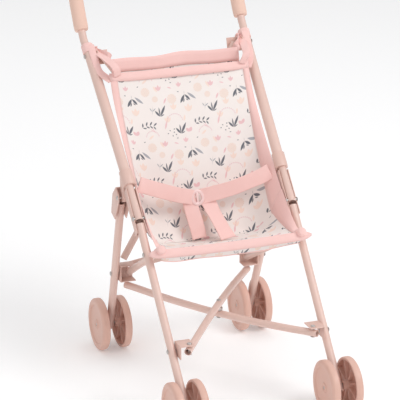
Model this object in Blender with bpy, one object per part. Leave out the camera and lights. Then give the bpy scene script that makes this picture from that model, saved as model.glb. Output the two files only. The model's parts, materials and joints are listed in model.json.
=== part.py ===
"""Folding doll stroller: tube frame, knee and scissor linkage, double wheels and a fabric sling.

Front is -Y and +Z is up, in metres. Left and right are as seen from the front, so left is -X.
The origin is on the floor, below the middle of the bounding box.
"""
import math

import bmesh
import bpy
from mathutils import Matrix, Vector

MM = 0.001

# Tubes
THIN_R = 5.5 * MM
THICK_R = 7.3 * MM
BRACE_R = 5.0 * MM
WALL = 1.0 * MM
GAP = 0.3 * MM
SIDES = 12

# Wheels
WHEEL_R = 37.5 * MM
WHEEL_W = 11.0 * MM
WHEEL_INSET = 11.3 * MM
AXLE_R = 2.2 * MM
BORE_R = 2.6 * MM
WHEEL_SIDES = 20

# Side view of one frame side, as (y, z)
FRONT_AXLE = Vector((-0.320, WHEEL_R))
REAR_AXLE = Vector((0.0, WHEEL_R))
KNEE = Vector((-0.142, 0.243))
RAIL_PIVOT = Vector((-0.1766, 0.203))
HIP = Vector((-0.090, 0.257))
REAR_PIVOT = Vector((-0.0324, 0.125))
FRONT_BRACKET_PIVOT = Vector((-0.2676, 0.098))
BRACE_TOP = Vector((0.046, 0.421))
UPPER_LEAN = math.radians(46.5)
GRIP_LENGTH = 0.112
GRIP_R = 10.0 * MM
GRIP_FOOT_R = 9.2 * MM
GRIP_FROM_BEND = 11.0 * MM

# Half widths
LEG_X_AXLE = 0.1086
LEG_X_KNEE = 0.1115
REAR_X_AXLE = 0.1073
REAR_X_TOP = 0.1150
UPPER_X_TOP = 0.1175
GRIP_X = 0.1195
LOW_BRACE_X = 0.0885
BACK_BRACE_X = 0.0955

# Brace ends, as (y, z)
LOW_FRONT = Vector((-0.2776, 0.101))
LOW_REAR = Vector((-0.0314, 0.1030))
BACK_REAR = Vector((-0.0310, 0.1470))
BACK_TOP = Vector((0.0440, 0.4160))
LOW_BOW = 7.2 * MM
BACK_BOW = 5.5 * MM
BOW_STEPS = 6

# Small parts
SHEET_T = 1.3 * MM
DRILL_REACH = Vector((0.020, 0.0, 0.0))
SHORT_REACH = Vector((0.006, 0.0, 0.0))
PIN_R = 1.8 * MM
HOLE_R = 2.2 * MM
HEAD_R = 3.3 * MM
HEAD_H = 1.3 * MM
CLOTH_T = 3.0 * MM

# Rear bracket's mouth, flange and cross link
MOUTH_TIP_X = 0.0815
MOUTH_LOW = 0.1125
MOUTH_HIGH = 0.1365
FLANGE_TOP = 0.1365
LINK_X = 0.0860
LINK_Z = 0.1290
LINK_RISE = 0.0130
LINK_TALL = 0.0130
LINK_T = 1.5 * MM
TONGUE_CLEAR = 7.6 * MM
SADDLE_HALF = 7.4 * MM
RAIL_INSET = THIN_R + BRACE_R + 1.2 * MM

# Cloth
BACK_HALF = 0.0960
SEAT_HALF = 0.0850
POCKET_HALF = 0.0760

PINK = (0.72, 0.42, 0.35)
DEEP_PINK = (0.66, 0.36, 0.30)
WHEEL_PINK = (0.70, 0.40, 0.34)
PEACH = (0.78, 0.47, 0.36)
STEEL = (0.50, 0.45, 0.43)
PRINT = (0.86, 0.78, 0.74)
BINDING = (0.90, 0.55, 0.53)

MATERIALS = {}
upper_dir = Vector((math.sin(UPPER_LEAN), math.cos(UPPER_LEAN)))
leg_dir = (KNEE - FRONT_AXLE).normalized()


def clear_scene():
    for item in list(bpy.data.objects):
        bpy.data.objects.remove(item, do_unlink=True)


def material(name, colour, roughness, metallic=0.0):
    if name not in MATERIALS:
        made = bpy.data.materials.new(name)
        made.use_nodes = True
        shader = made.node_tree.nodes["Principled BSDF"]
        shader.inputs["Base Color"].default_value = (*colour, 1.0)
        shader.inputs["Roughness"].default_value = roughness
        shader.inputs["Metallic"].default_value = metallic
        MATERIALS[name] = made
    return MATERIALS[name]


def finish(bm, name, look, origin=(0.0, 0.0, 0.0)):
    """Turn a bmesh in world coordinates into an object whose origin is at the given point."""
    origin = Vector(origin)
    bmesh.ops.remove_doubles(bm, verts=bm.verts, dist=1e-6)
    bmesh.ops.translate(bm, verts=bm.verts, vec=-origin)
    bmesh.ops.recalc_face_normals(bm, faces=bm.faces)
    mesh = bpy.data.meshes.new(name)
    bm.to_mesh(mesh)
    bm.free()
    mesh.shade_smooth()
    mesh.set_sharp_from_angle(angle=math.radians(35))
    made = bpy.data.objects.new(name, mesh)
    made.location = origin
    bpy.context.scene.collection.objects.link(made)
    mesh.materials.append(material(*look))
    return made


def rings_between(bm, rings, close_first=True, close_last=True):
    """Skin a list of equal rings of vertices, and cap the ends where asked."""
    for near, far in zip(rings, rings[1:]):
        count = len(near)
        for i in range(count):
            j = (i + 1) % count
            bm.faces.new((near[i], near[j], far[j], far[i]))
    if close_first:
        bm.faces.new(reversed(rings[0]))
    if close_last:
        bm.faces.new(rings[-1])


def path_frames(points):
    """Each point of a path with the direction of the path there and two axes across it."""
    frames = []
    for i, point in enumerate(points):
        ahead = points[min(i + 1, len(points) - 1)]
        behind = points[max(i - 1, 0)]
        along = (ahead - behind).normalized()
        side = Vector((1.0, 0.0, 0.0))
        if abs(along.x) > 0.9:
            side = Vector((0.0, 0.0, 1.0))
        across = (side - along * side.dot(along)).normalized()
        frames.append((point, along, across, along.cross(across)))
    return frames


def ring(bm, frame, radius, sides=SIDES):
    point, _, across, up = frame
    made = []
    for i in range(sides):
        turn = 2 * math.pi * i / sides
        made.append(bm.verts.new(point + (across * math.cos(turn) + up * math.sin(turn)) * radius))
    return made


def add_rod(bm, points, radii, sides=SIDES):
    """A solid rod through points, with one radius for each."""
    frames = path_frames([Vector(p) for p in points])
    rings_between(bm, [ring(bm, f, r, sides) for f, r in zip(frames, radii)])


def add_pipe(bm, points, outer, inner, sides=SIDES):
    """An open-ended pipe through points."""
    frames = path_frames([Vector(p) for p in points])
    outside = [ring(bm, f, outer, sides) for f in frames]
    inside = [ring(bm, f, inner, sides) for f in frames]
    rings_between(bm, outside + inside[::-1] + [outside[0]], False, False)


def add_plate(bm, outline, x_low, x_high):
    """Extrude an outline of (y, z) points along X."""
    low = [bm.verts.new((x_low, p[0], p[1])) for p in outline]
    high = [bm.verts.new((x_high, p[0], p[1])) for p in outline]
    rings_between(bm, [low, high])


def add_block(bm, centre, along, across, size):
    """A box of size (along, across, third) round a centre."""
    along = Vector(along).normalized()
    across = Vector(across).normalized()
    turn = Matrix((along, across, along.cross(across))).transposed().to_4x4()
    scale = Matrix.Diagonal((*size, 1.0))
    bmesh.ops.create_cube(bm, size=1.0, matrix=Matrix.Translation(centre) @ turn @ scale)


def add_rivet(bm, first, last, shank=PIN_R, head=HEAD_R):
    """A rivet whose two domed heads sit outside the points first and last."""
    first = Vector(first)
    last = Vector(last)
    along = (last - first).normalized()
    dome = HEAD_H
    points = [
        first - along * (GAP + dome), first - along * (GAP + 0.4 * dome), first - along * GAP,
        first - along * GAP * 0.9,
        last + along * GAP * 0.9,
        last + along * GAP, last + along * (GAP + 0.4 * dome), last + along * (GAP + dome),
    ]
    frames = path_frames(points)
    radii = [head * 0.45, head * 0.9, head, shank, shank, head, head * 0.9, head * 0.45]
    rings_between(bm, [ring(bm, f, r, 12) for f, r in zip(frames, radii)])


def add_boolean(target, tool, operation):
    tool.hide_render = True
    tool.display_type = "WIRE"
    change = target.modifiers.new(operation.lower(), "BOOLEAN")
    change.object = tool
    change.operation = operation
    change.solver = "EXACT"


def drill(target, holes):
    """Cut round holes, each (start, end, radius), through an object."""
    bm = bmesh.new()
    for start, end, radius in holes:
        add_rod(bm, [start, end], [radius, radius], 8)
    cutter = finish(bm, "cut_" + target.name, ("cutter", (0.5, 0.5, 0.5), 0.5))
    add_boolean(target, cutter, "DIFFERENCE")


def at(x, side_point):
    return Vector((x, side_point[0], side_point[1]))


def leg_x(side_point):
    """Half width of the front leg at a height."""
    share = (side_point[1] - WHEEL_R) / (KNEE[1] - WHEEL_R)
    return LEG_X_AXLE + share * (LEG_X_KNEE - LEG_X_AXLE)


def rear_x(side_point):
    """Half width of the rear leg at a height."""
    share = (side_point[1] - WHEEL_R) / (HIP[1] - WHEEL_R)
    return REAR_X_AXLE + share * (REAR_X_TOP - REAR_X_AXLE)


FRAME_LOOK = ("frame_paint", PINK, 0.4, 0.1)
BRACKET_LOOK = ("bracket_paint", DEEP_PINK, 0.45, 0.1)
WHEEL_LOOK = ("wheel_plastic", WHEEL_PINK, 0.5)
GRIP_LOOK = ("grip_foam", PEACH, 0.85)
RIVET_LOOK = ("rivet_steel", STEEL, 0.4, 0.8)
CLOTH_LOOK = ("print_cloth", PRINT, 0.9)
STRAP_LOOK = ("pink_cloth", BINDING, 0.9)

# Distances along the upper tube's axis, from the knee pivot
TUBE_B_START = -3.0 * MM
TUBE_B_END = 0.100
COLLAR_LOW = 0.0505
COLLAR_HIGH = 0.0730
UPPER_START = 0.0640
UPPER_END = 0.2780
HANDLE_START = 0.2350
BEND_AT = 0.2900
TOP_PIN_AT = 0.2585
GRIP_LEAN_LOW = math.radians(36)
GRIP_LEAN_HIGH = math.radians(22)


def on_upper(distance, back=0.0):
    """A side-view point on the upper tube's axis, moved back and down across it."""
    across = Vector((upper_dir[1], -upper_dir[0]))
    return KNEE + upper_dir * distance + across * back


def upper_x(distance):
    share = max(0.0, (distance - COLLAR_LOW) / (UPPER_END - COLLAR_LOW))
    return LEG_X_KNEE + min(share, 1.1) * (UPPER_X_TOP - LEG_X_KNEE)


def grip_path(start, length, steps):
    """Side-view points of the handle's curve, whose lean eases as it rises."""
    point = Vector(start)
    points = [point.copy()]
    for i in range(steps):
        share = (i + 0.5) / steps
        lean = GRIP_LEAN_LOW + share * (GRIP_LEAN_HIGH - GRIP_LEAN_LOW)
        point = point + Vector((math.sin(lean), math.cos(lean))) * (length / steps)
        points.append(point.copy())
    return points


def make_handle(side, word):
    bend = on_upper(BEND_AT)
    curve = grip_path(bend, GRIP_LENGTH, 5)
    grip_x = side * GRIP_X
    lower = [at(side * upper_x(HANDLE_START), on_upper(HANDLE_START)),
             at(side * upper_x(UPPER_END), on_upper(UPPER_END))]
    points = lower + [at(grip_x, p) for p in curve]
    bm = bmesh.new()
    add_pipe(bm, points, THIN_R, THIN_R - WALL)
    tube = finish(bm, f"handle_tube_{word}", FRAME_LOOK, at(side * LEG_X_KNEE, KNEE))
    pin = at(side * upper_x(TOP_PIN_AT), BRACE_TOP)
    drill(tube, [(pin - DRILL_REACH, pin + DRILL_REACH, HOLE_R)])

    start = (curve[1] - curve[0]).normalized() * GRIP_FROM_BEND + curve[0]
    body = [start] + curve[1:]
    tip = (curve[-1] - curve[-2]).normalized()
    radii = [GRIP_FOOT_R] + [GRIP_R] * (len(body) - 1)
    for rise, share in ((0.006, 0.99), (0.0105, 0.86), (0.0135, 0.6), (0.0148, 0.25)):
        body.append(curve[-1] + tip * rise)
        radii.append(GRIP_R * share)
    bm = bmesh.new()
    frames = path_frames([at(grip_x, p) for p in body])
    outside = [ring(bm, f, r) for f, r in zip(frames, radii)]
    bore_end = curve[-1] + tip * 3.0 * MM
    bore_points = [at(grip_x, p) for p in [start] + curve[1:] + [bore_end]]
    inside = [ring(bm, f, THIN_R + GAP) for f in path_frames(bore_points)]
    rings_between(bm, inside[::-1] + outside)
    finish(bm, f"handle_grip_{word}", GRIP_LOOK, at(side * LEG_X_KNEE, KNEE))


def make_upper(side, word):
    knee = at(side * LEG_X_KNEE, KNEE)
    bm = bmesh.new()
    ends = [UPPER_START, UPPER_END]
    add_pipe(bm, [at(side * upper_x(d), on_upper(d)) for d in ends], THICK_R, THIN_R + GAP)
    upper = finish(bm, f"upper_tube_{word}", FRAME_LOOK, knee)
    x_top = side * upper_x(TOP_PIN_AT)
    drill(upper, [(at(x_top, BRACE_TOP) - DRILL_REACH, at(x_top, BRACE_TOP) + DRILL_REACH, HOLE_R)])

    bm = bmesh.new()
    add_pipe(bm, [at(side * LEG_X_KNEE, on_upper(TUBE_B_START)), at(side * LEG_X_KNEE, on_upper(COLLAR_LOW)),
                  at(side * upper_x(TUBE_B_END), on_upper(TUBE_B_END))], THIN_R, THIN_R - WALL)
    inner = finish(bm, f"lower_tube_{word}", FRAME_LOOK, knee)
    drill(inner, [(knee - DRILL_REACH, knee + DRILL_REACH, HOLE_R)])

    # The collar is a ring round both tubes with one flat ear that carries the hip pivot.
    bm = bmesh.new()
    low = at(side * upper_x(COLLAR_LOW), on_upper(COLLAR_LOW))
    step = at(side * upper_x(UPPER_START), on_upper(UPPER_START))
    high = at(side * upper_x(COLLAR_HIGH), on_upper(COLLAR_HIGH))
    frames = path_frames([low, step, high])
    mid = path_frames([low, low.lerp(step, 0.94), high])[1]
    outside = [ring(bm, f, THICK_R + 1.9 * MM) for f in frames]
    inside = [ring(bm, frames[0], THIN_R + GAP), ring(bm, mid, THIN_R + GAP),
              ring(bm, mid, THICK_R + GAP), ring(bm, frames[2], THICK_R + GAP)]
    rings_between(bm, outside + inside[::-1] + [outside[0]], False, False)
    collar = finish(bm, f"hip_collar_{word}", BRACKET_LOOK, knee)

    bm = bmesh.new()
    across = Vector((upper_dir[1], -upper_dir[0]))
    outline = [on_upper(COLLAR_HIGH, 8.4 * MM), on_upper(COLLAR_LOW, 8.4 * MM)]
    centre = HIP
    for step_count in range(9):
        turn = math.radians(-100 + 24 * step_count)
        outline.append(centre + (across * math.cos(turn) + upper_dir * math.sin(turn)) * 6.5 * MM)
    add_plate(bm, outline, side * REAR_X_TOP - 3.2 * MM, side * REAR_X_TOP + 3.2 * MM)
    ear = finish(bm, f"cut_ear_{word}", BRACKET_LOOK, knee)
    add_boolean(collar, ear, "UNION")
    hip = at(side * REAR_X_TOP, HIP)
    drill(collar, [(hip - DRILL_REACH, hip + DRILL_REACH, HOLE_R)])


def make_knee_channel(side, word):
    """The open-fronted channel on the front leg's top end, which the lower tube rests in."""
    inside = THIN_R + 0.6 * MM
    outside = inside + SHEET_T
    back = THIN_R + 2.7 * MM
    low, high = -0.021, 0.046
    lip = -4.0 * MM
    section = [(-outside, lip), (-outside, back + SHEET_T), (outside, back + SHEET_T), (outside, lip),
               (inside, lip), (inside, back), (-inside, back), (-inside, lip)]
    bm = bmesh.new()
    rings = []
    for distance in (low, high):
        made = []
        for x, depth in section:
            cut_back = 4.0 * MM if distance == low and depth < 0 else 0.0
            point = on_upper(distance, depth + cut_back)
            made.append(bm.verts.new(at(side * LEG_X_KNEE + x, point)))
        rings.append(made)
    rings_between(bm, rings)
    channel = finish(bm, f"knee_channel_{word}", BRACKET_LOOK, at(side * LEG_X_KNEE, KNEE))
    knee = at(side * LEG_X_KNEE, KNEE)
    drill(channel, [(knee - DRILL_REACH, knee + DRILL_REACH, HOLE_R)])


def make_front_leg(side, word):
    top = KNEE - leg_dir * 8.0 * MM
    foot = FRONT_AXLE - leg_dir * 8.0 * MM
    bm = bmesh.new()
    add_pipe(bm, [at(side * leg_x(foot), foot), at(side * leg_x(top), top)], THIN_R, THIN_R - WALL)
    leg = finish(bm, f"front_leg_{word}", FRAME_LOOK, at(side * LEG_X_KNEE, KNEE))
    holes = []
    for point, radius in ((FRONT_AXLE, BORE_R), (FRONT_BRACKET_PIVOT, HOLE_R), (RAIL_PIVOT, HOLE_R)):
        middle = at(side * leg_x(point), point)
        holes.append((middle - DRILL_REACH, middle + DRILL_REACH, radius))
    drill(leg, holes)


def make_rear_leg(side, word):
    lean = (REAR_PIVOT - REAR_AXLE).normalized()
    foot = REAR_AXLE - lean * 8.0 * MM
    top = REAR_AXLE + lean * 0.222
    bm = bmesh.new()
    add_pipe(bm, [at(side * rear_x(foot), foot), at(side * rear_x(top), top)], THIN_R, THIN_R - WALL)
    leg = finish(bm, f"rear_leg_{word}", FRAME_LOOK, at(side * REAR_X_TOP, HIP))
    holes = []
    for point, radius in ((REAR_AXLE, BORE_R), (REAR_PIVOT, HOLE_R)):
        middle = at(side * rear_x(point), point)
        holes.append((middle - DRILL_REACH, middle + DRILL_REACH, radius))
    drill(leg, holes)

    # The hip bracket is a saddle: two cheeks and a back wall, open towards the upper tube.
    cheek = 7.4 * MM
    sheet = 1.5 * MM
    across = Vector((lean[1], -lean[0]))
    base = REAR_AXLE + lean * 0.199
    outline = [base + across * 8.6 * MM, base - across * 8.0 * MM,
               HIP - across * 6.0 * MM - lean * 2.0 * MM, HIP + lean * 6.0 * MM - across * 1.5 * MM,
               HIP + lean * 9.0 * MM + across * 8.6 * MM + across * 4.0 * MM,
               base + lean * 0.03 + across * 12.6 * MM]
    middle = side * REAR_X_TOP
    bm = bmesh.new()
    add_plate(bm, outline, middle - cheek - sheet, middle + cheek + sheet)
    saddle = finish(bm, f"hip_bracket_{word}", BRACKET_LOOK, at(middle, HIP))
    bm = bmesh.new()
    slot = [base - across * 0.03 - lean * 0.03, base + across * 6.7 * MM - lean * 0.03,
            base + across * 6.7 * MM + lean * 0.026, HIP + lean * 12.0 * MM + across * 10.6 * MM,
            HIP + lean * 0.03 + across * 10.6 * MM, HIP + lean * 0.03 - across * 0.03]
    add_plate(bm, slot, middle - cheek, middle + cheek)
    cutter = finish(bm, f"cut_slot_{word}", BRACKET_LOOK)
    add_boolean(saddle, cutter, "DIFFERENCE")
    hip = at(middle, HIP)
    drill(saddle, [(hip - DRILL_REACH, hip + DRILL_REACH, HOLE_R)])


def wheel_profile():
    """(x, radius) points from the outer face at x 0 to the hub's inner end."""
    hub_end = WHEEL_W + WHEEL_INSET - THIN_R - 0.5 * MM
    return [(1.0 * MM, BORE_R), (1.9 * MM, 7.0 * MM), (1.9 * MM, 28.5 * MM),
            (0.0, 32.0 * MM), (0.6 * MM, 36.0 * MM), (2.8 * MM, WHEEL_R),
            (9.0 * MM, WHEEL_R), (WHEEL_W, 36.0 * MM), (WHEEL_W, 33.6 * MM), (4.0 * MM, 32.0 * MM),
            (4.0 * MM, 6.6 * MM), (hub_end, 5.4 * MM), (hub_end, BORE_R)]


def make_wheels(side, word, axle, leg_centre, place):
    """Two wheels and their axle at the foot of one leg."""
    centre = at(side * leg_centre, axle)
    for facing, name in ((-1, "left"), (1, "right")):
        bm = bmesh.new()
        outer = centre.x + facing * (WHEEL_INSET + WHEEL_W)
        loop = []
        turn = math.pi / WHEEL_SIDES
        for offset, radius in wheel_profile():
            reach = radius / math.cos(turn)
            loop.append(bm.verts.new((outer - facing * offset, centre.y + reach * math.sin(turn),
                                      centre.z + reach * math.cos(turn))))
        edges = [bm.edges.new((loop[i], loop[(i + 1) % len(loop)])) for i in range(len(loop))]
        bmesh.ops.spin(bm, geom=loop + edges, cent=centre, axis=(1, 0, 0), angle=2 * math.pi,
                       steps=WHEEL_SIDES, use_merge=True)
        finish(bm, f"{place}_{word}_wheel_{name}", WHEEL_LOOK, centre)
    bm = bmesh.new()
    reach = Vector((WHEEL_INSET + WHEEL_W - 1.4 * MM, 0, 0))
    add_rod(bm, [centre - reach, centre + reach], [AXLE_R, AXLE_R], 12)
    finish(bm, f"{place}_{word}_axle", RIVET_LOOK, centre)


def make_rail(side, word):
    """The seat rail, from the rear bracket's mouth up and forward past the front leg."""
    front_x = side * (leg_x(RAIL_PIVOT) - RAIL_INSET)
    rear = Vector((REAR_PIVOT[0] - 1.0 * MM, REAR_PIVOT[1] - 0.5 * MM))
    rear_end = at(side * 0.0895, rear)
    pivot = at(front_x, RAIL_PIVOT)
    along = (pivot - rear_end).normalized()
    tip = pivot + along * 0.033
    start = rear_end - along * 3.0 * MM
    bm = bmesh.new()
    radii = [BRACE_R * 0.55, BRACE_R * 0.9, BRACE_R, BRACE_R, BRACE_R * 0.9, BRACE_R * 0.55]
    add_rod(bm, [start - along * 1.5 * MM, start - along * 0.9 * MM, start + along * 0.8 * MM,
                 tip - along * 0.8 * MM, tip + along * 0.9 * MM, tip + along * 1.5 * MM], radii)
    rail = finish(bm, f"seat_rail_{word}", FRAME_LOOK, at(side * LEG_X_KNEE, RAIL_PIVOT))
    reach = Vector((0.012, 0, 0))
    drill(rail, [(pivot - reach, pivot + reach, HOLE_R)])


def make_rear_bracket(side, word):
    """The C-shaped bracket on the rear leg: its mouth faces inwards, and a flange closes its back."""
    pivot_x = rear_x(REAR_PIVOT)
    web_out = side * (pivot_x - THIN_R - 0.6 * MM)
    web_in = web_out - side * SHEET_T
    tip = side * MOUTH_TIP_X
    near_y, far_y = REAR_PIVOT[0] - 8.0 * MM, REAR_PIVOT[0] + 8.0 * MM
    section = [(web_out, MOUTH_LOW), (web_out, MOUTH_HIGH), (tip, MOUTH_HIGH), (tip, MOUTH_HIGH - SHEET_T),
               (web_in, MOUTH_HIGH - SHEET_T), (web_in, MOUTH_LOW + SHEET_T), (tip, MOUTH_LOW + SHEET_T),
               (tip, MOUTH_LOW)]
    bm = bmesh.new()
    near = [bm.verts.new((x, near_y, z)) for x, z in section]
    far = [bm.verts.new((x, far_y + 0.5 * SHEET_T, z)) for x, z in section]
    rings_between(bm, [near, far])
    bracket = finish(bm, f"rear_bracket_{word}", BRACKET_LOOK, at(side * pivot_x, REAR_PIVOT))
    bm = bmesh.new()
    middle = Vector(((web_out + tip) / 2, far_y + 0.5 * SHEET_T, (MOUTH_LOW + FLANGE_TOP) / 2))
    size = (abs(web_out - tip), SHEET_T, FLANGE_TOP - MOUTH_LOW)
    add_block(bm, middle, (1, 0, 0), (0, 1, 0), size)
    flange = finish(bm, f"cut_flange_{word}", BRACKET_LOOK)
    add_boolean(bracket, flange, "UNION")
    pin = at(web_out, REAR_PIVOT)
    link = Vector((side * LINK_X, far_y, LINK_Z))
    reach_back = Vector((0, 0.006, 0))
    drill(bracket, [(pin - SHORT_REACH, pin + SHORT_REACH, HOLE_R),
                    (link - reach_back, link + reach_back, HOLE_R)])


def make_link_half(side, word):
    """Half of the rear cross link: a flat bar from the bracket's flange up to the middle."""
    layer = 0 if side < 0 else 1
    near_y = REAR_PIVOT[0] + 8.0 * MM + SHEET_T + 0.6 * MM + layer * (LINK_T + 0.5 * MM)
    low = Vector((side * LINK_X, 0.0, LINK_Z))
    high = Vector((0.0, 0.0, LINK_Z + LINK_RISE))
    along = (high - low).normalized()
    half = LINK_TALL / 2
    outline = []
    for centre, start in ((low, 90), (high, -90)):
        for step in range(5):
            turn = math.radians(start + 45 * step)
            across = Vector((0, 1, 0)).cross(along)
            outline.append(centre + (along * math.cos(turn) + across * math.sin(turn)) * half)
    bm = bmesh.new()
    near = [bm.verts.new((p.x, near_y, p.z)) for p in outline]
    far = [bm.verts.new((p.x, near_y + LINK_T, p.z)) for p in outline]
    rings_between(bm, [near, far])
    link = finish(bm, f"cross_link_{word}", BRACKET_LOOK, (low.x, near_y, low.z))
    holes = []
    for point, radius in ((low, HOLE_R), (high, HOLE_R + 1.0 * MM)):
        centre = Vector((point.x, near_y, point.z))
        holes.append((centre - Vector((0, 0.006, 0)), centre + Vector((0, 0.006, 0)), radius))
    drill(link, holes)


def make_front_bracket(side, word):
    """An angle on the leg's inner side: an upright plate, and a tongue over the brace's end."""
    pivot_x = leg_x(FRONT_BRACKET_PIVOT)
    plate_out = side * (pivot_x - THIN_R - 0.6 * MM)
    plate_in = plate_out - side * SHEET_T
    tip = side * (LOW_BRACE_X - 6.0 * MM)
    under = LOW_FRONT[1] + TONGUE_CLEAR
    low, near_y, far_y = under - 17.0 * MM, LOW_FRONT[0] - 7.0 * MM, LOW_FRONT[0] + 17.0 * MM
    section = [(plate_out, low), (plate_out, under + SHEET_T), (tip, under + SHEET_T), (tip, under),
               (plate_in, under), (plate_in, low)]
    bm = bmesh.new()
    near = [bm.verts.new((x, near_y, z)) for x, z in section]
    far = [bm.verts.new((x, far_y, z)) for x, z in section]
    rings_between(bm, [near, far])
    bracket = finish(bm, f"front_bracket_{word}", BRACKET_LOOK, at(side * pivot_x, FRONT_BRACKET_PIVOT))
    pin = at(plate_out, FRONT_BRACKET_PIVOT)
    brace_end = at(side * LOW_BRACE_X, LOW_FRONT)
    normal = brace_plane(LOW_FRONT, LOW_REAR)
    drill(bracket, [(pin - SHORT_REACH, pin + SHORT_REACH, HOLE_R),
                    (brace_end, brace_end + normal * 0.02, HOLE_R)])


def make_top_bracket(side, word):
    """An angle on the upper tube's inner side: a plate, and a tongue behind the back brace's end."""
    pivot_x = upper_x(TOP_PIN_AT)
    normal = brace_plane(BACK_TOP, BACK_REAR)
    back = normal if normal.y > 0 else -normal
    rise = (at(0.0, BACK_TOP) - at(0.0, BACK_REAR)).normalized()
    plate_out = pivot_x - THICK_R - 0.8 * MM
    plate_in = plate_out - SHEET_T
    tip = BACK_BRACE_X - 6.0 * MM
    behind = BRACE_R + 0.8 * MM
    section = [(plate_out, -9.0 * MM), (plate_out, behind + SHEET_T), (tip, behind + SHEET_T),
               (tip, behind), (plate_in, behind), (plate_in, -9.0 * MM)]
    rings = []
    bm = bmesh.new()
    for height in (-7.0 * MM, 13.0 * MM):
        centre = at(0.0, BACK_TOP) + rise * height
        rings.append([bm.verts.new(centre + back * depth + Vector((side * x, 0, 0))) for x, depth in section])
    rings_between(bm, rings)
    bracket = finish(bm, f"top_bracket_{word}", BRACKET_LOOK, at(side * pivot_x, BRACE_TOP))
    pin = at(side * plate_in, BRACE_TOP)
    brace_end = at(side * BACK_BRACE_X, BACK_TOP)
    drill(bracket, [(pin - SHORT_REACH, pin + SHORT_REACH, HOLE_R),
                    (brace_end, brace_end + back * 0.02, HOLE_R)])


def brace_plane(first, last):
    """Unit normal, front and up or back, of the plane that a pair of crossed braces lies in."""
    run = at(0.0, last) - at(0.0, first)
    return Vector((1.0, 0.0, 0.0)).cross(run).normalized()


def brace_points(first, last, half_x, side, bow, overhang):
    """Points of one brace, which bows gently clear of the other where they cross."""
    normal = brace_plane(first, last)
    start = at(side * half_x, first)
    end = at(-side * half_x, last)
    along = (end - start).normalized()
    points = [start - along * overhang[0]]
    for step in range(BOW_STEPS + 1):
        share = step / BOW_STEPS
        lift = bow * (1 - (2 * share - 1) ** 2)
        points.append(start.lerp(end, share) + normal * lift)
    points.append(end + along * overhang[1])
    return points


def make_braces(first, last, half_x, names, bow, overhang):
    """Two crossed tubes, with holes for the pins at their first ends and their middles."""
    normal = brace_plane(first, last)
    for side, lift, name in ((-1, bow, names[0]), (1, -bow, names[1])):
        points = brace_points(first, last, half_x, side, lift, overhang)
        bm = bmesh.new()
        add_pipe(bm, points, BRACE_R, BRACE_R - WALL)
        start = at(side * half_x, first)
        tube = finish(bm, name, FRAME_LOOK, start)
        middle = points[1 + BOW_STEPS // 2]
        reach = normal * 0.008
        drill(tube, [(start - reach, start + reach, HOLE_R), (middle - reach, middle + reach, HOLE_R)])


def make_side_rivets(side, word):
    """One rivet at each hinge of a side frame, long enough for the two faces its heads hold."""
    half_channel = THIN_R + 0.6 * MM + SHEET_T
    half_saddle = SADDLE_HALF + SHEET_T
    rear_bracket_x = rear_x(REAR_PIVOT)
    top_x = upper_x(TOP_PIN_AT)
    rivets = {
        "knee_rivet": (KNEE, LEG_X_KNEE - half_channel, LEG_X_KNEE + half_channel),
        "seat_rail_rivet": (RAIL_PIVOT, leg_x(RAIL_PIVOT) - RAIL_INSET - BRACE_R, leg_x(RAIL_PIVOT) + THIN_R),
        "hip_rivet": (HIP, REAR_X_TOP - half_saddle, REAR_X_TOP + half_saddle),
        "rear_bracket_rivet": (REAR_PIVOT, rear_bracket_x - THIN_R - 0.6 * MM - SHEET_T,
                               rear_bracket_x + THIN_R),
        "top_bracket_rivet": (BRACE_TOP, top_x - THICK_R - 0.8 * MM - SHEET_T, top_x + THICK_R),
    }
    for name, (point, x_in, x_out) in rivets.items():
        bm = bmesh.new()
        add_rivet(bm, at(side * x_in, point), at(side * x_out, point))
        finish(bm, f"{name}_{word}", RIVET_LOOK, at(side * x_out, point))


def make_centre_pins():
    """The pins through the middles of the two crossed pairs, the lower one with its spacer."""
    for first, last, name, bow in ((LOW_FRONT, LOW_REAR, "lower_brace_pin", LOW_BOW),
                                   (BACK_TOP, BACK_REAR, "back_brace_pin", BACK_BOW)):
        normal = brace_plane(first, last)
        centre = at(0.0, (first + last) / 2)
        reach = normal * (bow + BRACE_R)
        gap = bow - BRACE_R
        bm = bmesh.new()
        frames = path_frames([centre - reach - normal * (GAP + HEAD_H), centre - reach - normal * GAP,
                              centre - reach - normal * GAP * 0.9, centre - normal * (gap - GAP),
                              centre - normal * (gap - 1.1 * GAP), centre + normal * (gap - 1.1 * GAP),
                              centre + normal * (gap - GAP), centre + reach + normal * GAP * 0.9,
                              centre + reach + normal * GAP, centre + reach + normal * (GAP + HEAD_H)])
        collar = 5.0 * MM if gap > 1.0 * MM else PIN_R
        radii = [HEAD_R * 0.6, HEAD_R, PIN_R, PIN_R, collar, collar, PIN_R, PIN_R, HEAD_R, HEAD_R * 0.6]
        rings_between(bm, [ring(bm, f, r, 12) for f, r in zip(frames, radii)])
        finish(bm, name, RIVET_LOOK, centre)


def cloth_panel(bm, line, half_width, thickness):
    """A thin panel that follows a side-view line and spans the seat."""
    upper = []
    lower = []
    for i, point in enumerate(line):
        ahead = line[min(i + 1, len(line) - 1)]
        behind = line[max(i - 1, 0)]
        along = (ahead - behind).normalized()
        across = Vector((-along[1], along[0])) * thickness / 2
        upper.append(point + across)
        lower.append(point - across)
    add_plate(bm, upper + lower[::-1], -half_width, half_width)


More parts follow.
